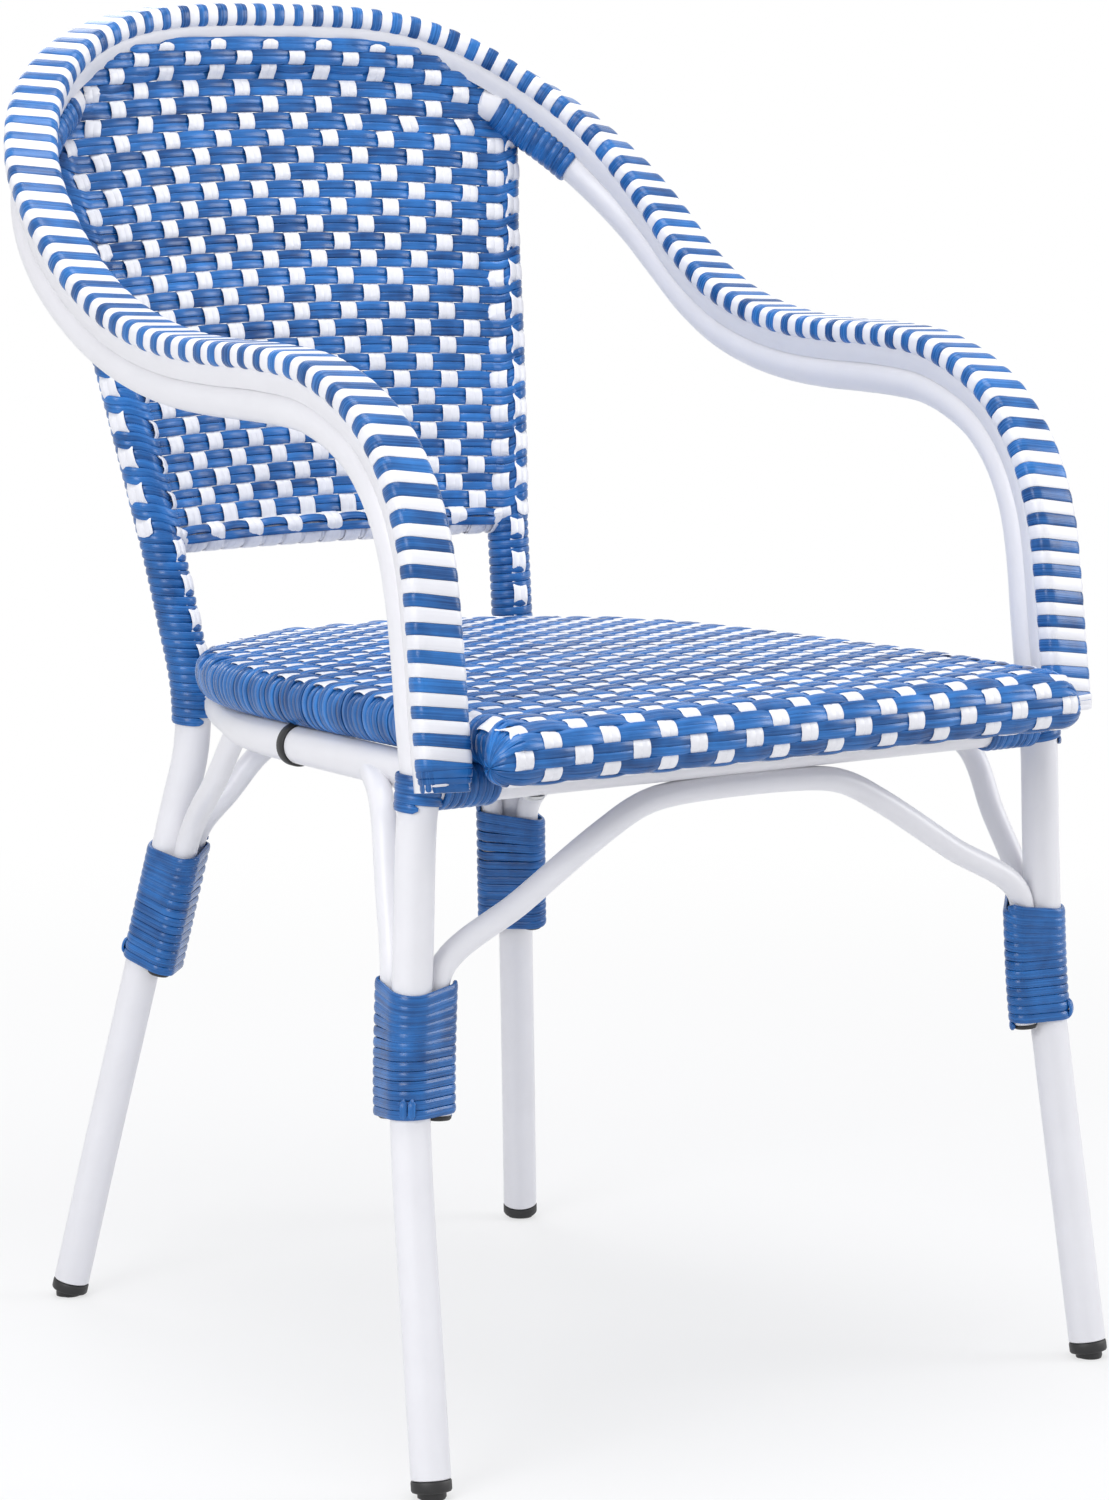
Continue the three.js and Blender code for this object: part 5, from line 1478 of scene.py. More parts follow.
@dataclass
class WovenSeat(Assembly):
    """The seat: blue pairs across over its side rolls, white strands from front to back, and its bars."""

    pitch: float = 0.0123
    pair: float = 0.00305
    reach: float = 0.0139
    half_strands: int = 10
    last_row: int = 42
    crown: float = 0.004
    side_thinner: float = 0.0012
    rim: float = 0.007
    blue_lift: float = 0.0009
    white_lift: float = 0.0012
    white_width: float = 0.0134
    skin: float = 0.0023
    corner: float = 0.2185
    under: float = 200.0
    ball: float = 0.226
    frame_radius: float = 0.011

    PROFILE = ((0.006, 0.4345), (-0.002, 0.4343), (-0.0095, 0.4362), (-0.0145, 0.4425), (-0.016, 0.4525),
               (-0.013, 0.4645), (-0.0045, 0.4722), (0.008, 0.475))
    FILLERS = ((0.0015, 0.4368), (0.0075, 0.4375), (0.0125, 0.441), (0.015, 0.447), (0.0155, 0.4535),
               (0.015, 0.46), (0.0145, 0.4665), (0.013, 0.4715))

    def __post_init__(self) -> None:
        """Samples the seat's bent frame and the spacing of its white strands."""
        lines = self.lines
        self.bar_depth = -lines.front_bar_depth + lines.shift
        self.bar_height = lines.front_bar_height
        bend = lines.seat_bend
        self.along = np.linspace(-0.03, bend.length + 0.03, 1500)
        self.axis = bend.at(self.along)
        headings = unit(bend.heading(self.along)[:, :2])
        self.out = np.stack([headings[:, 1], -headings[:, 0]], axis=1)
        self.profile = SmoothCurve(np.array([[0, self.bar_depth + y, z] for y, z in self.PROFILE]))
        self.profile_start = self.profile.distance_where(2, 0.4525)
        self.face_run = self.profile.length - self.profile_start
        self.top_run = self.face_run - 0.008
        self.right = self.axis[: len(self.axis) // 2]
        depths = np.array([-0.304, -0.285, -0.2, -0.1, -0.03, 0.1, 0.207]) + lines.shift
        self.stray = np.random.default_rng(57)
        self.turn = np.radians(np.arange(8.0, self.under, 9.0))
        self.spacing = (depths, np.array([0.0221, 0.0215, 0.021, 0.0203, 0.0199, 0.0189, 0.018]))

    def space_at(self, depth: Array) -> Array:
        """The distance between white strands at a depth."""
        return np.interp(depth, *self.spacing)

    def distance(self, across: Array, depth: Array) -> tuple[Array, Array]:
        """How far a place lies outside the seat frame's axis, and the index of the nearest sample."""
        return past_axis(across, depth, self.axis[:, :2], self.out)

    def across_of(self, place: Array, depth: Array) -> Array:
        """How far from the middle a white strand lies, the outermost ones on the roll's shoulder.

        Args:
            place: its place, counted from the chair's middle.
            depth: the depths.
        Returns:
            The distances across.
        """
        space = self.space_at(depth)
        width = np.interp(depth, self.right[:, 1], self.right[:, 0])
        rim = self.rim * (1 - 0.9 * ease((depth - self.bar_depth - 0.02) / 0.1))
        stretch = np.clip((width + rim) / (self.half_strands * space), 0.9, 1.15) - 1
        stretch = stretch * ease((depth - self.bar_depth + 0.01) / 0.012)
        stretch = stretch * ease((0.245 - (depth - self.bar_depth)) / 0.1 + 1)
        share = place / self.half_strands
        return space * self.half_strands * (share + stretch * share * share ** 4)

    def side_reach(self, depth: Array) -> Array:
        """How far the strands' middle lies from the seat frame's axis at a depth."""
        return self.reach - self.side_thinner * ease((depth - self.bar_depth) / 0.05)

    def ring_level(self, depth: Array) -> Array:
        """The height of the side rolls' middle at a depth."""
        return self.top_level(depth) - self.skin - self.side_reach(depth)

    def top_level(self, depth: Array) -> Array:
        """The height of the weave's upper face at the side rolls, at a depth."""
        low, high = 0.475, self.lines.ring_height + self.reach + self.skin
        return low + (high - low) * ease((depth - self.bar_depth - 0.008) / 0.1)

    def on_seat(self, walked: Array, across: Array, lift: Array) -> tuple:
        """Points on the seat, by their way from the middle of the front face.

        Args:
            walked: how far up and back from the front face's middle they lie.
            across: their places across.
            lift: how far they are raised.
        Returns:
            The points and the directions square to the surface.
        """
        rolled = walked < self.face_run
        reach = self.profile_start + np.clip(walked, -self.profile_start, self.face_run)
        heading = unit(self.profile.heading(reach))
        depth = self.bar_depth + np.maximum(walked - self.top_run, 0)
        width = np.interp(np.clip(depth, self.right[:, 1].min(), self.right[:, 1].max()),
                          self.right[:, 1], self.right[:, 0])
        share = np.clip(across / width, -1, 1)
        fore = np.clip((depth - self.bar_depth - 0.008) / 0.489, 0, 1)
        crown = self.crown * (1 - share ** 2) * 4 * fore * (1 - fore)
        small = 0.001
        slope = (self.ring_level(depth + small) - self.ring_level(depth - small)) / (2 * small)
        radius = self.side_reach(depth)
        level = self.ring_level(depth) + radius + crown
        flat_normal = unit(np.stack([np.zeros_like(slope), -slope, np.ones_like(slope)], axis=1))
        out, near = self.distance(abs(across), depth)
        shoulder = (out > 0) & (depth > self.bar_depth + 0.004)
        sine = np.clip(out / radius, 0, 0.97)
        cosine = np.sqrt(1 - sine ** 2)
        level = np.where(shoulder, self.ring_level(depth) + radius * cosine, level)
        aside = self.out[near] * sine[:, None] * np.stack([np.sign(across), np.ones_like(across)], axis=1)
        flat_normal = np.where(shoulder[:, None], np.column_stack([aside, cosine]), flat_normal)
        roll_normal = np.stack([np.zeros_like(across), -heading[:, 2], heading[:, 1]], axis=1)
        roll = self.profile.at(reach) * FLAT - roll_normal * self.skin
        roll[:, 0] = across
        drop = radius * (1 - cosine) * ease((walked - 0.008) / 0.014)
        roll[:, 2] -= np.where(out > 0, drop, 0)
        flat = np.stack([across, depth, level], axis=1)
        points = np.where(rolled[:, None], roll, flat)
        normals = np.where(rolled[:, None], roll_normal, flat_normal)
        return points + normals * lift[:, None], normals

    def build(self) -> None:
        """Makes the bars, the strands, the corners and the small parts."""
        lines = self.lines
        frame_tubes = TubeFrame(lines, self.dresser)
        frame_tubes.tube("seat_frame", frame_tubes.path(lines.seat_bend), self.frame_radius)
        across = np.linspace(-self.ball, self.ball, 60)
        bar = np.array([(x, self.bar_depth, self.bar_height) for x in across])
        frame_tubes.tube("seat_front_bar", bar, self.frame_radius)
        blue = MeshBuilder(51, StrandShape.OVAL.outline(0.0061, 0.0026))
        white = MeshBuilder(52, StrandShape.TAPE.outline(self.white_width, 0.0013))
        for row in range(-2, self.last_row + 1):
            for offset in (-self.pair, self.pair):
                self.blue_row(blue, row, offset)
        for side in Side:
            self.corner_fillers(blue, side)
        for place in range(-self.half_strands, self.half_strands + 1):
            self.white_strand(white, place)
        self.dresser.dress(blue, "woven_seat_blue_pairs", "blue_strand", "woven_seat")
        self.dresser.dress(white, "woven_seat_white_strands", "white_strand", "woven_seat")
        self.build_small_parts()

    def blue_row(self, builder: MeshBuilder, row: int, offset: float) -> None:
        """Adds one strand of a pair, from side to side.

        Args:
            builder: the mesh.
            row: the row, 0 on the middle of the front face.
            offset: how far past the row's middle it runs.
        """
        walked = self.pitch * row + offset
        depth = self.bar_depth + max(0.0, walked - self.top_run)
        rounded = depth - self.bar_depth < 0.0125
        edge = self.corner
        if not rounded:
            across = np.linspace(0.02, 0.235, 300)
            edge = float(across[int(np.argmax(self.distance(across, np.full_like(across, depth))[0] > 0))])
        across = np.linspace(-edge, edge, max(10, int(2 * edge / STRAND_STEP)))
        lift = self.blue_wave(across, depth, row)
        points, normals = self.on_seat(np.full_like(across, walked), across, lift)
        if rounded:
            start = self.on_seat(np.full(1, walked), np.full(1, edge), np.zeros(1))[0][0]
            right = self.corner_points(start, float(lift[-1]), Side.RIGHT)
            left = self.corner_points(start, float(lift[0]), Side.LEFT)
        else:
            right = self.side_points(edge, depth, Side.RIGHT, row)
            left = self.side_points(edge, depth, Side.LEFT, row)
        points, normals, narrow = joined(left, (points, normals, np.ones(len(points))), right)
        builder.lay(points, normals, 0.003, narrow=narrow)

    def blue_wave(self, across: Array, depth: float, row: int) -> Array:
        """How far a pair stands out where it passes a place across."""
        places = np.arange(-self.half_strands - 2.0, self.half_strands + 2.1, 0.25)
        place = np.interp(across, self.across_of(places, np.full_like(places, depth)), places)
        fade = 1 - ease((abs(place) - self.half_strands - 0.3) / 0.4)
        return -self.blue_lift * flat_wave(np.pi * (place + row), 1.1) * fade

    def side_points(self, edge: float, depth: float, side: Side, row: int) -> tuple[Array, ...]:
        """The way of a strand round the side roll, from its top to its underside.

        Args:
            edge: where it reaches the top of the roll.
            depth: its depth there.
            side: the side.
            row: the strand's row.
        Returns:
            The points, the outward directions and how narrow the strand gets.
        """
        _, near = self.distance(np.array([edge]), np.array([depth]))
        start = self.along[near[0]]
        out = self.out[near[0]]
        lean = float(np.clip(-out[1] / max(out[0], 0.25), -1.1, 1.1)) + float(self.stray.normal(0, 0.035))
        radius = float(self.side_reach(np.array([depth]))[0])
        passed = edge + radius * np.sin(np.minimum(self.turn, np.pi / 2)) * max(out[0], 0.3)
        lift = self.blue_wave(passed, depth, row) * (self.turn < 1.2)
        points, normals = self.rolled(start, lean, side, radius, lift)
        return points, normals, np.full(len(points), 0.965)

    def rolled(self, start: float, lean: float, side: Side, radius: float,
               lift: Array) -> tuple[Array, Array]:
        """A winding path round the seat frame.

        Args:
            start: the distance along the frame at which it starts.
            lean: how far it goes along for each length that it goes round.
            side: the side.
            radius: its distance from the frame's axis.
            lift: how far it is raised, point by point.
        Returns:
            The points and the outward directions.
        """
        angle = self.turn
        along = start + lean * radius * angle
        centre = looked_up(along, self.along, self.axis)
        out = unit(looked_up(along, self.along, self.out))
        bottom = self.lines.ring_height - self.lines.dip(centre[:, 1]) - self.reach - 0.0014
        centre[:, 2] = self.ring_level(centre[:, 1])
        outward = np.column_stack([out * np.sin(angle)[:, None], np.cos(angle)])
        sink = 0.0014 * ease((np.degrees(angle) - 175) / 25)
        points = centre + outward * (radius + lift - sink)[:, None]
        taller = np.maximum((centre[:, 2] - bottom) / radius - 1, 0)
        points[:, 2] += taller * np.minimum(points[:, 2] - centre[:, 2], 0)
        return points * side.flip, outward * side.flip

    def corner_points(self, start: Array, lift: float, side: Side) -> tuple[Array, ...]:
        """The way of a strand round a front corner, to the point on its outer side where all meet.

        Args:
            start: where it leaves the straight part, on the right.
            lift: how far it is raised there.
            side: the side.
        Returns:
            The points, the outward directions and how narrow the strand gets.
        """
        pole = np.array([self.ball + 0.0105, self.bar_depth - 0.001, self.bar_height - 0.002])
        middle = np.array([self.corner - 0.002, self.bar_depth, self.bar_height])
        back = unit((start - pole) * FLAT)
        knots = np.array([start, start + np.array([0.0105, 0, 0]), pole + back * 0.0095, pole])
        share = np.linspace(0, 0.985, 14)[1:, None]
        weights = np.hstack([(1 - share) ** 3, 3 * share * (1 - share) ** 2,
                             3 * share ** 2 * (1 - share), share ** 3])
        points = weights @ knots
        outward = unit(points - middle)
        points = points + outward * (lift * (1 - ease(share * 2.2)))
        narrow = np.clip(np.linalg.norm(points - pole, axis=1) / 0.0145, 0.13, 0.95)
        return points * side.flip, outward * side.flip, narrow

    def corner_fillers(self, builder: MeshBuilder, side: Side) -> None:
        """Adds the strands that close the rear and the underside of a front corner."""
        for deep, height in self.FILLERS:
            start = np.array([self.corner, self.bar_depth + deep, height])
            points, normals, narrow = self.corner_points(start, 0.0, side)
            steps = (0.012, 0.008, 0.004, 0.0)
            lead = np.array([start - np.array([step, 0, 0]) for step in steps]) * side.flip
            normals = np.vstack([np.tile(normals[0] * FLAT, (4, 1)), normals])
            builder.lay(np.vstack([lead, points]), unit(normals), 0.003,
                        narrow=np.concatenate([np.full(4, 0.95), narrow]))

    def white_strand(self, builder: MeshBuilder, place: int) -> None:
        """Adds one white strand, from under the front roll to under the back.

        Args:
            builder: the mesh.
            place: its place, counted from the chair's middle.
        """
        start = -self.profile_start + 0.001
        walked = np.arange(start, self.top_run + 0.53, 0.0016)
        depth = self.bar_depth + np.maximum(walked - self.top_run, 0)
        ahead = np.maximum(self.top_run - walked, 0)
        across = self.across_of(np.full_like(depth, float(place)), depth - np.minimum(ahead, 0.014))
        out, _ = self.distance(across, depth)
        beyond = (out > 0.6 * self.reach) & (depth > self.bar_depth + 0.25)
        stop = int(np.argmax(beyond | ((out > 0) & (depth > self.bar_depth + 0.36))))
        walked, across, depth = walked[:stop], across[:stop], depth[:stop]
        lift = self.white_lift * flat_wave(np.pi * (place + walked / self.pitch), 2.6)
        points, normals = self.on_seat(walked, across, lift)
        side = Side.LEFT if place < 0 else Side.RIGHT
        _, near = self.distance(np.abs(across[-1:]), depth[-1:])
        out_here = self.out[near[0]]
        lean = float(np.clip(out_here[0] / max(out_here[1], 0.3), -0.9, 0.9))
        rolled, outward = self.rolled(self.along[near[0]], lean, side, self.reach, np.zeros(len(self.turn)))
        first = 4 if out[stop - 1] > 0.003 else 0
        if abs(place) < self.half_strands - 1:
            points, normals = np.vstack([points, rolled[first:]]), np.vstack([normals, outward[first:]])
        else:
            ahead = np.arange(len(points))[::-1] * 0.0016
            points = points - normals * (0.004 * (1 - ease(ahead / 0.009)))[:, None]
        builder.lay(settled(points), normals, 0.003)

    def build_small_parts(self) -> None:
        """Makes the tab, the bolt and the rings that keep stacked chairs apart."""
        low, high = (np.array(corner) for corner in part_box("seat_tab"))
        middle, (wide, deep, _) = (low + high) / 2, (high - low) / 2
        outline = rounded_box(wide, deep, 0.003, 5)
        levels = ((low[2], 0.965), (low[2] + 0.0005, 1), (high[2] - 0.0005, 1), (high[2], 0.965))
        rows = [np.column_stack([middle[:2] + outline * share, np.full(len(outline), height)])
                for height, share in levels]
        tab = MeshBuilder()
        tab.grid(np.array(rows), 0.5)
        self.dresser.dress(tab, "rounded_seat_tab", "white_frame", "seat_tab")
        low, high = (np.array(corner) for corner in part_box("seat_bolt"))
        head, shank, tall = (high[0] - low[0]) / 2, 0.003, high[2] - low[2]
        profile = [(0, 0), (head * 0.45, 0.0001), (head * 0.8, 0.0006), (head * 0.95, 0.0014),
                   (head, 0.0022), (head, 0.003), (shank, 0.003), (shank, tall - 0.0006),
                   (shank - 0.0005, tall), (0, tall)]
        bolt = MeshBuilder()
        bolt.turned(profile, np.append((low + high)[:2] / 2, low[2]), np.array([0, 0, 1.0]), 40)
        self.dresser.dress(bolt, "domed_seat_bolt", "bright_steel", "seat_bolt")
        rail = self.lines.seat_rail
        reach = rail.distance_where(1, -0.034 + self.lines.shift, 0.5)
        centre, heading = rail.at(reach)[0], rail.heading(reach)[0]
        inner, outer, half = self.lines.tube_radius - 0.0006, self.lines.tube_radius + 0.0018, 0.004
        profile = [(0.0, -half), (inner, -half), (outer - 0.0006, -half), (outer, -half + 0.0008),
                   (outer, half - 0.0008), (outer - 0.0006, half), (inner, half), (0.0, half)]
        for side in Side:
            band = MeshBuilder()
            band.turned(profile, centre * side.flip, heading * side.flip)
            node = f"stacking_ring_{side.label}"
            self.dresser.dress(band, f"rounded_{node}", "black_plastic", node)


@dataclass
class Wrappings(Assembly):
    """The strands wound round the legs, the corners, the posts and the arm ends."""

    width: float = 0.0062
    height: float = 0.0025
    pitch: float = 0.006
    front_turns: int = 13
    rear_turns: int = 14
    front_clearance: float = 0.0004
    rear_clearance: float = 0.0003
    loop_steps: int = 72
    taper: float = 0.004
    post_start: float = -0.0145
    post_end: float = 0.0045
    post_strip_angles: Pair = (-8.0, -24.0)
    post_strip_width: float = 0.011
    arm_start: float = 0.03
    arm_turns: int = 12
    arm_pitch: float = 0.00595
    arm_gap: float = 47.0
    drop: float = 0.0035
    flare: float = 0.0056

    def outline(self) -> Array:
        """The section of the wound strand."""
        return StrandShape.HALF_ROUND.outline(self.width, self.height)

    def build(self) -> None:
        """Makes every wrap."""
        lines = self.lines
        self.binding("leg_binding_front", lines.arm, lines.front_binding, lines.front_beside,
                     self.front_turns, self.front_clearance, (0.4, 1.0))
        self.binding("leg_binding_rear", lines.post, lines.rear_binding, lines.rear_beside,
                     self.rear_turns, self.rear_clearance, (1.1, 0.1))
        for side in Side:
            self.corner_wrap(side)
            self.post_wrap(side)
            self.arm_end_wrap(side)

    def loop(self, clearance: float) -> tuple[Array, Array]:
        """One taut loop round a leg and the two tube ends beside it.

        Args:
            clearance: how far the strand's inner face stays off them.
        Returns:
            Places beside the leg's middle, towards the chair's middle and along its side, and the
            outward directions.
        """
        lines = self.lines
        away = lines.tube_radius + lines.brace_radius + 2 * lines.joint_gap
        circles = np.array([(0, 0, lines.tube_radius), (away, 0, lines.brace_radius),
                            (0, away, lines.brace_radius)])
        angle = np.linspace(0, 2 * np.pi, 2880, endpoint=False)
        facing = np.stack([np.cos(angle), np.sin(angle)], axis=1)
        best = circles[(facing @ circles[:, :2].T + circles[:, 2]).argmax(axis=1)]
        places = best[:, :2] + facing * (best[:, 2:] + clearance + self.height / 2)
        both = np.hstack([places, facing])
        both = np.vstack([both, both[:1]])
        walked = run_of(both[:, :2])
        found = looked_up(np.linspace(0, walked[-1], self.loop_steps, endpoint=False), walked, both)
        return found[:, :2], unit(found[:, 2:])

    def binding(self, node: str, leg: SmoothCurve, heights: Pair, beside: dict, turns: int,
                clearance: float, lean: Pair) -> None:
        """Makes the wound binding of a leg on both sides.

        Args:
            node: the start of the names of the CAD nodes that it replaces.
            leg: the leg's middle.
            heights: where it starts and ends.
            beside: the directions beside the leg.
            turns: how many turns it has.
            clearance: how far the strand stays off the tubes.
            lean: how much it climbs towards the chair's middle and along its side.
        """
        places, facing = self.loop(clearance)
        count = turns * self.loop_steps
        pick = np.arange(count + 1) % self.loop_steps
        middle = (heights[0] + heights[1]) / 2 - self.drop
        climb = turns * self.pitch * beside["axis"][2]
        level = middle + climb * (np.arange(count + 1) / count - 0.5)
        base = leg.at(leg.walked_at(level))
        points = base + places[pick, :1] * beside["middle"] + places[pick, 1:] * beside["along"]
        flare = ease((np.arange(count + 1) / self.loop_steps - turns + 6.5) / 6.5)
        rise = self.flare * (places[pick] @ np.array(lean)) / 0.025 + 0.0008
        points = points + beside["axis"] * (flare * rise)[:, None]
        normals = facing[pick, :1] * beside["middle"] + facing[pick, 1:] * beside["along"]
        for side in Side:
            builder = MeshBuilder(61, self.outline())
            builder.lay(points * side.flip, normals * side.flip, 0.004, narrow=1 + 0.24 * flare)
            low = self.loop_steps * 2 // 3
            self.tuck(builder, points[low], normals[low], beside["axis"], side)
            name = f"{node}_{side.label}"
            self.dresser.dress(builder, f"wound_{name}", "blue_strand", name)

    def tuck(self, builder: MeshBuilder, middle: Array, outward: Array, axis: Array, side: Side) -> None:
        """Adds the strand ends that are tucked across the lowest turns.

        Args:
            builder: the mesh.
            middle: a point on the lowest turn.
            outward: the outward direction there.
            axis: the direction of the leg.
            side: the side of the chair.
        """
        walk = np.linspace(0, 1, 12)[:, None]
        thin = StrandShape.HALF_ROUND.outline(0.0048, 0.002)
        for offset in (-0.0026, 0.0026):
            points = middle + np.cross(axis, outward) * offset + axis * (0.0125 * walk - 0.0022)
            points = points + outward * (0.0021 * np.sin(np.pi * np.clip(walk * 1.05, 0, 1)) ** 0.6)
            builder.lay(points * side.flip, np.tile(outward, (12, 1)) * side.flip, 0.003, outline=thin)

    def corner_wrap(self, side: Side) -> None:
        """Makes the wraps where the front seat rail meets a front leg: round the leg, then the rail."""
        lines = self.lines
        radius = lines.tube_radius + self.height / 2 + 0.0002
        builder = MeshBuilder(71, self.outline())
        low = lines.leg_point(lines.arm, lines.seat_rail_height - 0.0126)
        high = lines.leg_point(lines.arm, lines.seat_rail_height + 0.01)
        points, normals = helix(low, high, radius, 4.0, 0.6)
        builder.lay(points * side.flip, normals * side.flip, self.taper)
        start = lines.leg_at_rail + np.array([-lines.tube_radius + 0.005, 0, 0])
        end = lines.leg_at_rail + np.array([-lines.tube_radius - 0.038, 0, 0])
        points, normals = helix(start, end, radius, 7.3, 0.4)
        builder.lay(points * side.flip, normals * side.flip, self.taper)
        name = f"corner_wrap_{side.label}"
        self.dresser.dress(builder, f"wound_{name}", "blue_strand", name)

    def post_wrap(self, side: Side) -> None:
        """Makes the turns round a post below the back, with the white strand woven through them."""
        lines = self.lines
        low, high = lines.seat_rail_height + self.post_start, lines.crossbar_height + self.post_end
        turns = (high - low) / self.pitch
        count = int(turns * 28)
        level = np.linspace(low, high, count)
        angle = np.linspace(0, 2 * np.pi * turns, count)
        place = math.radians(self.post_strip_angles[0 if side is Side.RIGHT else 1])
        wave = flat_wave(2 * np.pi * (level - low) / (4 * self.pitch), 1.6)
        near = np.exp(-((np.angle(np.exp(1j * (angle - place)))) / 0.5) ** 2)
        reach = lines.tube_radius + self.height / 2 + 0.0001
        outward = np.stack([np.sin(angle), -np.cos(angle), np.zeros(count)], axis=1)
        points = lines.post.at(lines.post.walked_at(level))
        points = points + outward * (reach + near * (0.0005 - 0.0009 * wave))[:, None]
        blue = MeshBuilder(81, self.outline())
        blue.lay(points * side.flip, outward * side.flip, self.taper)
        name = f"post_wrap_{side.label}"
        self.dresser.dress(blue, f"wound_{name}", "blue_strand", name)
        level = np.linspace(low + 0.004, high - 0.001, 110)
        wave = flat_wave(2 * np.pi * (level - low) / (4 * self.pitch), 1.6)
        facing = np.tile([math.sin(place), -math.cos(place), 0], (len(level), 1))
        strip = lines.post.at(lines.post.walked_at(level))
        strip = strip + facing * (reach + 0.0005 + 0.0013 * wave)[:, None]
        white = MeshBuilder(82, StrandShape.TAPE.outline(self.post_strip_width, 0.0012))
        white.lay(strip * side.flip, facing * side.flip, 0.002)
        self.dresser.dress(white, f"white_strand_of_{name}", "white_strand", name)

    def arm_end_wrap(self, side: Side) -> None:
        """Makes the turns round the end of an arm tube, from one edge of the bead to the other."""
        lines = self.lines
        builder = MeshBuilder(91, self.outline())
        last = lines.arm.length - self.arm_start
        rail_samples = lines.rail.at(np.linspace(0, lines.rail.length / 2, 900))
        for turn in range(self.arm_turns):
            reach = last - turn * self.arm_pitch
            centre, heading = lines.arm.at(reach)[0], lines.arm.heading(reach)[0]
            nearest = rail_samples[np.linalg.norm(rail_samples - centre, axis=1).argmin()]
            up = nearest - centre
            up = unit(up - heading * (up @ heading))
            wide = np.cross(heading, up)
            angle = np.radians(np.linspace(self.arm_gap, 360 - self.arm_gap, 36))
            outward = turned_round(angle, up, wide)
            points = centre + outward * (lines.tube_radius + self.height / 2 + 0.0001)
            points = points + heading * (0.0016 * np.linspace(-1, 1, len(angle)))[:, None]
            builder.lay(points * side.flip, outward * side.flip, 0.002)
        name = f"arm_end_wrap_{side.label}"
        self.dresser.dress(builder, f"wound_{name}", "blue_strand", name)


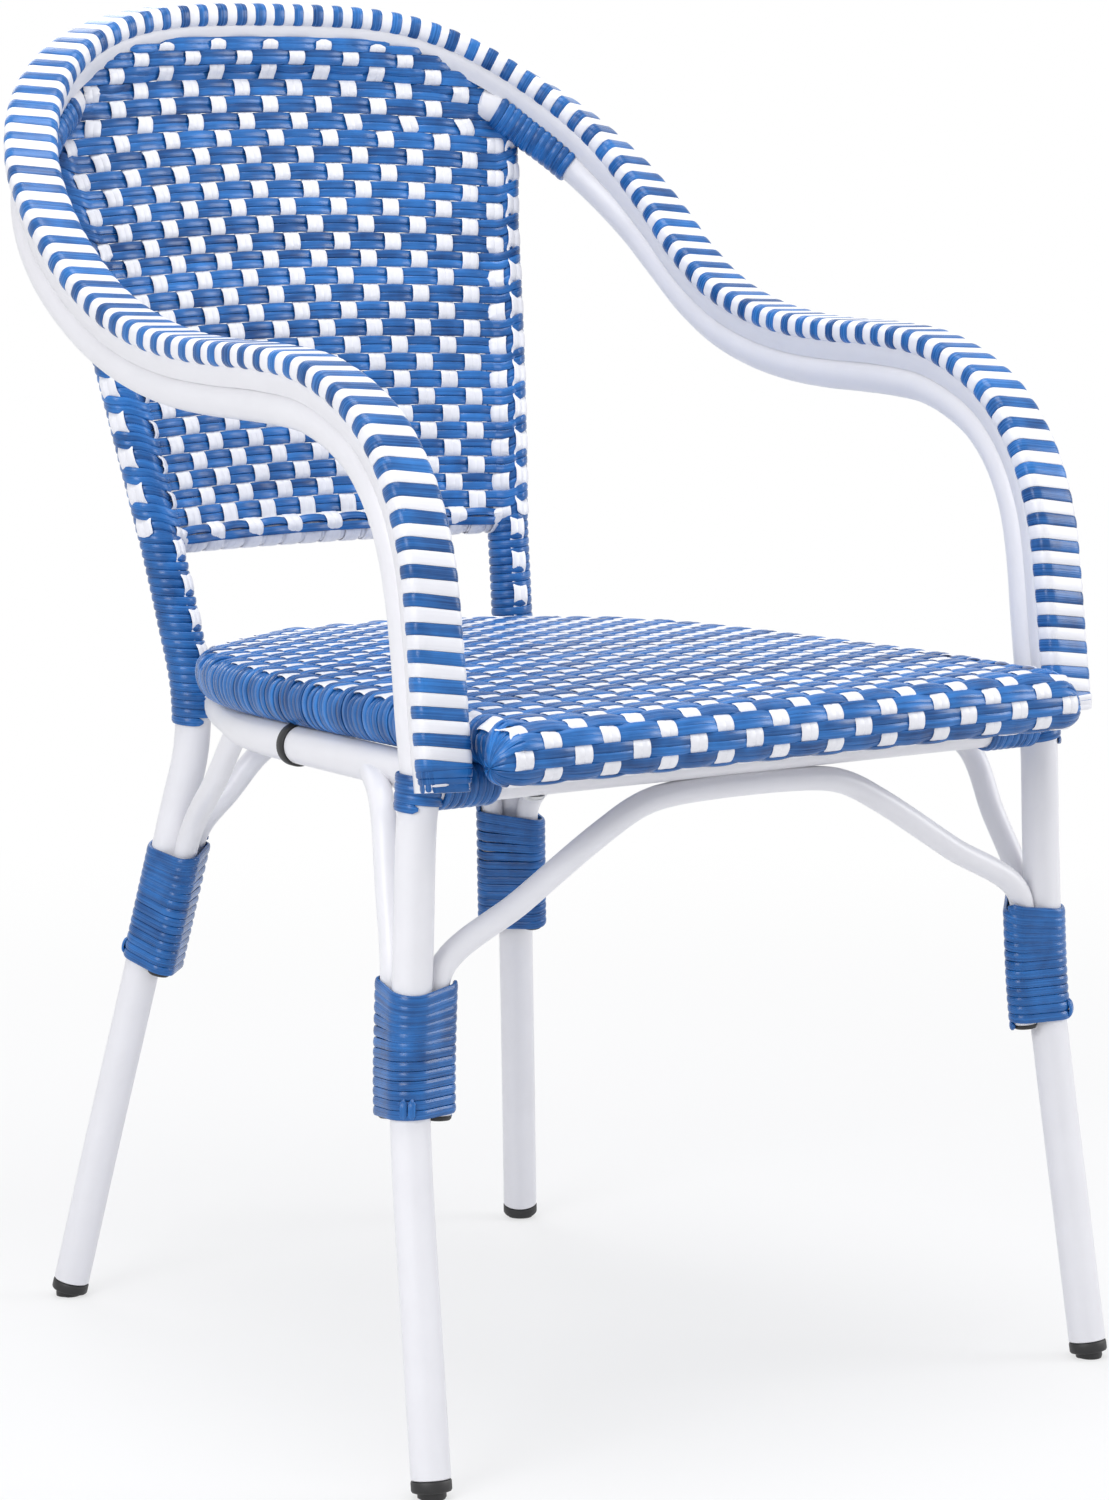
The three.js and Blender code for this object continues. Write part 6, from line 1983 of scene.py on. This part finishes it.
@dataclass
class Studio:
    """The camera, the soft lamps, the pale floor and the background."""

    camera_place: Triple = (-1.84155, -2.539775, 0.83798)
    camera_turn: Triple = (82.152, 0.0, -36.492)
    lens: float = 111.3127
    floor_half: float = 30.0

    def build(self) -> None:
        """Sets up the whole studio."""
        self.build_camera()
        self.build_lamps()
        self.build_floor()
        self.build_world()
        bpy.context.scene.view_settings.view_transform = "Standard"

    def build_camera(self) -> None:
        """Makes the camera at the photograph's angle."""
        data = bpy.data.cameras.new("studio_camera")
        data.lens = self.lens
        data.sensor_width = 36.0
        data.clip_end = 100.0
        camera = bpy.data.objects.new("studio_camera", data)
        camera.location = self.camera_place
        camera.rotation_euler = Euler([math.radians(turn) for turn in self.camera_turn], "XYZ")
        bpy.context.scene.collection.objects.link(camera)
        bpy.context.scene.camera = camera

    def build_lamps(self) -> None:
        """Makes the large soft lamps."""
        lamps = (
            ("left_softbox", (-2.8, -1.2, 1.7), 1.7, 44.0),
            ("right_softbox", (2.5, -1.7, 1.3), 1.5, 34.0),
            ("top_softbox", (-0.2, -0.3, 3.0), 2.0, 46.0),
            ("rear_softbox", (0.6, 2.8, 2.2), 2.0, 20.0),
        )
        target = np.array([0, 0, 0.5])
        for name, place, size, power in lamps:
            data = bpy.data.lights.new(name, "AREA")
            data.shape = "DISK"
            data.size = size
            data.energy = power
            lamp = bpy.data.objects.new(name, data)
            lamp.location = place
            away = np.array(place) - target
            yaw = math.atan2(away[1], away[0]) + math.pi / 2
            pitch = math.acos(away[2] / np.linalg.norm(away))
            lamp.rotation_euler = Euler((pitch, 0.0, yaw), "XYZ")
            bpy.context.scene.collection.objects.link(lamp)

    @staticmethod
    def seen(sheet: NodeSheet) -> Socket:
        """Whether a ray comes from the camera, a mirror or glass."""
        path = sheet.node("ShaderNodeLightPath")
        first = sheet.math("MAXIMUM", path.outputs["Is Camera Ray"], path.outputs["Is Glossy Ray"])
        return sheet.math("MAXIMUM", first, path.outputs["Is Transmission Ray"])

    @staticmethod
    def blend(sheet: NodeSheet, factor: Socket, first: Socket, second: Socket, output: str) -> None:
        """Mixes two shaders and links the result to an output node."""
        mixed = sheet.node("ShaderNodeMixShader")
        for place, value in enumerate((factor, first, second)):
            sheet.link(value, mixed.inputs[place])
        sheet.link(mixed.outputs[0], sheet.tree.nodes[output].inputs["Surface"])

    def build_floor(self) -> None:
        """Makes the floor, which keeps the chair's shadow."""
        mesh = bpy.data.meshes.new("studio_floor")
        half = self.floor_half
        corners = [(-half, -half, 0), (half, -half, 0), (half, half, 0), (-half, half, 0)]
        mesh.from_pydata(corners, [], [(0, 1, 2, 3)])
        floor = bpy.data.objects.new("studio_floor", mesh)
        floor.location.z = -0.0004
        bpy.context.scene.collection.objects.link(floor)
        made = bpy.data.materials.new("pale_floor")
        made.use_nodes = True
        sheet = NodeSheet(made.node_tree)
        shader = made.node_tree.nodes["Principled BSDF"]
        shader.inputs["Base Color"].default_value = (0.8, 0.8, 0.81, 1)
        shader.inputs["Roughness"].default_value = 0.9
        glow = sheet.node("ShaderNodeEmission", Color=(1, 1, 1, 1), Strength=1.0)
        where = sheet.node("ShaderNodeTexCoord")
        away = sheet.node("ShaderNodeVectorMath", operation="LENGTH")
        sheet.link(where.outputs["Object"], away.inputs[0])
        fade = sheet.node("ShaderNodeMapRange", interpolation_type="SMOOTHSTEP", From_Min=0.5, From_Max=2.2,
                          To_Min=0.66, To_Max=1.0)
        sheet.link(away.outputs["Value"], fade.inputs["Value"])
        factor = sheet.math("MULTIPLY", self.seen(sheet), fade.outputs[0])
        self.blend(sheet, factor, shader.outputs[0], glow.outputs[0], "Material Output")
        mesh.materials.append(made)

    def build_world(self) -> None:
        """Makes the pale background and its soft fill."""
        world = bpy.data.worlds.new("studio_world")
        bpy.context.scene.world = world
        world.use_nodes = True
        sheet = NodeSheet(world.node_tree)
        backdrop = world.node_tree.nodes["Background"]
        backdrop.inputs["Color"].default_value = (0.93, 0.95, 1.0, 1)
        backdrop.inputs["Strength"].default_value = 0.42
        white = sheet.node("ShaderNodeBackground", Color=(1, 1, 1, 1), Strength=1.0)
        self.blend(sheet, self.seen(sheet), backdrop.outputs[0], white.outputs[0], "World Output")


def main() -> None:
    """Builds the chair's sub-assemblies in order, then the studio."""
    logging.basicConfig(level=logging.INFO, format="%(name)s %(message)s")
    low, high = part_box("seat_front_bar")
    base = ChairLines()
    lines = ChairLines(shift=(low[1] + high[1]) / 2 + base.front_bar_depth)
    log.info("shift %.6f, rail %.4f, seat frame %.4f",
             lines.shift, lines.rail.length, lines.seat_bend.length)
    dresser = Dresser()
    TubeFrame(lines, dresser).build()
    Feet(lines, dresser).build()
    HandRail(lines, dresser).build()
    BackPanel(lines, dresser).build()
    WovenSeat(lines, dresser).build()
    Wrappings(lines, dresser).build()
    Studio().build()


if __name__ == "__main__":
    main()
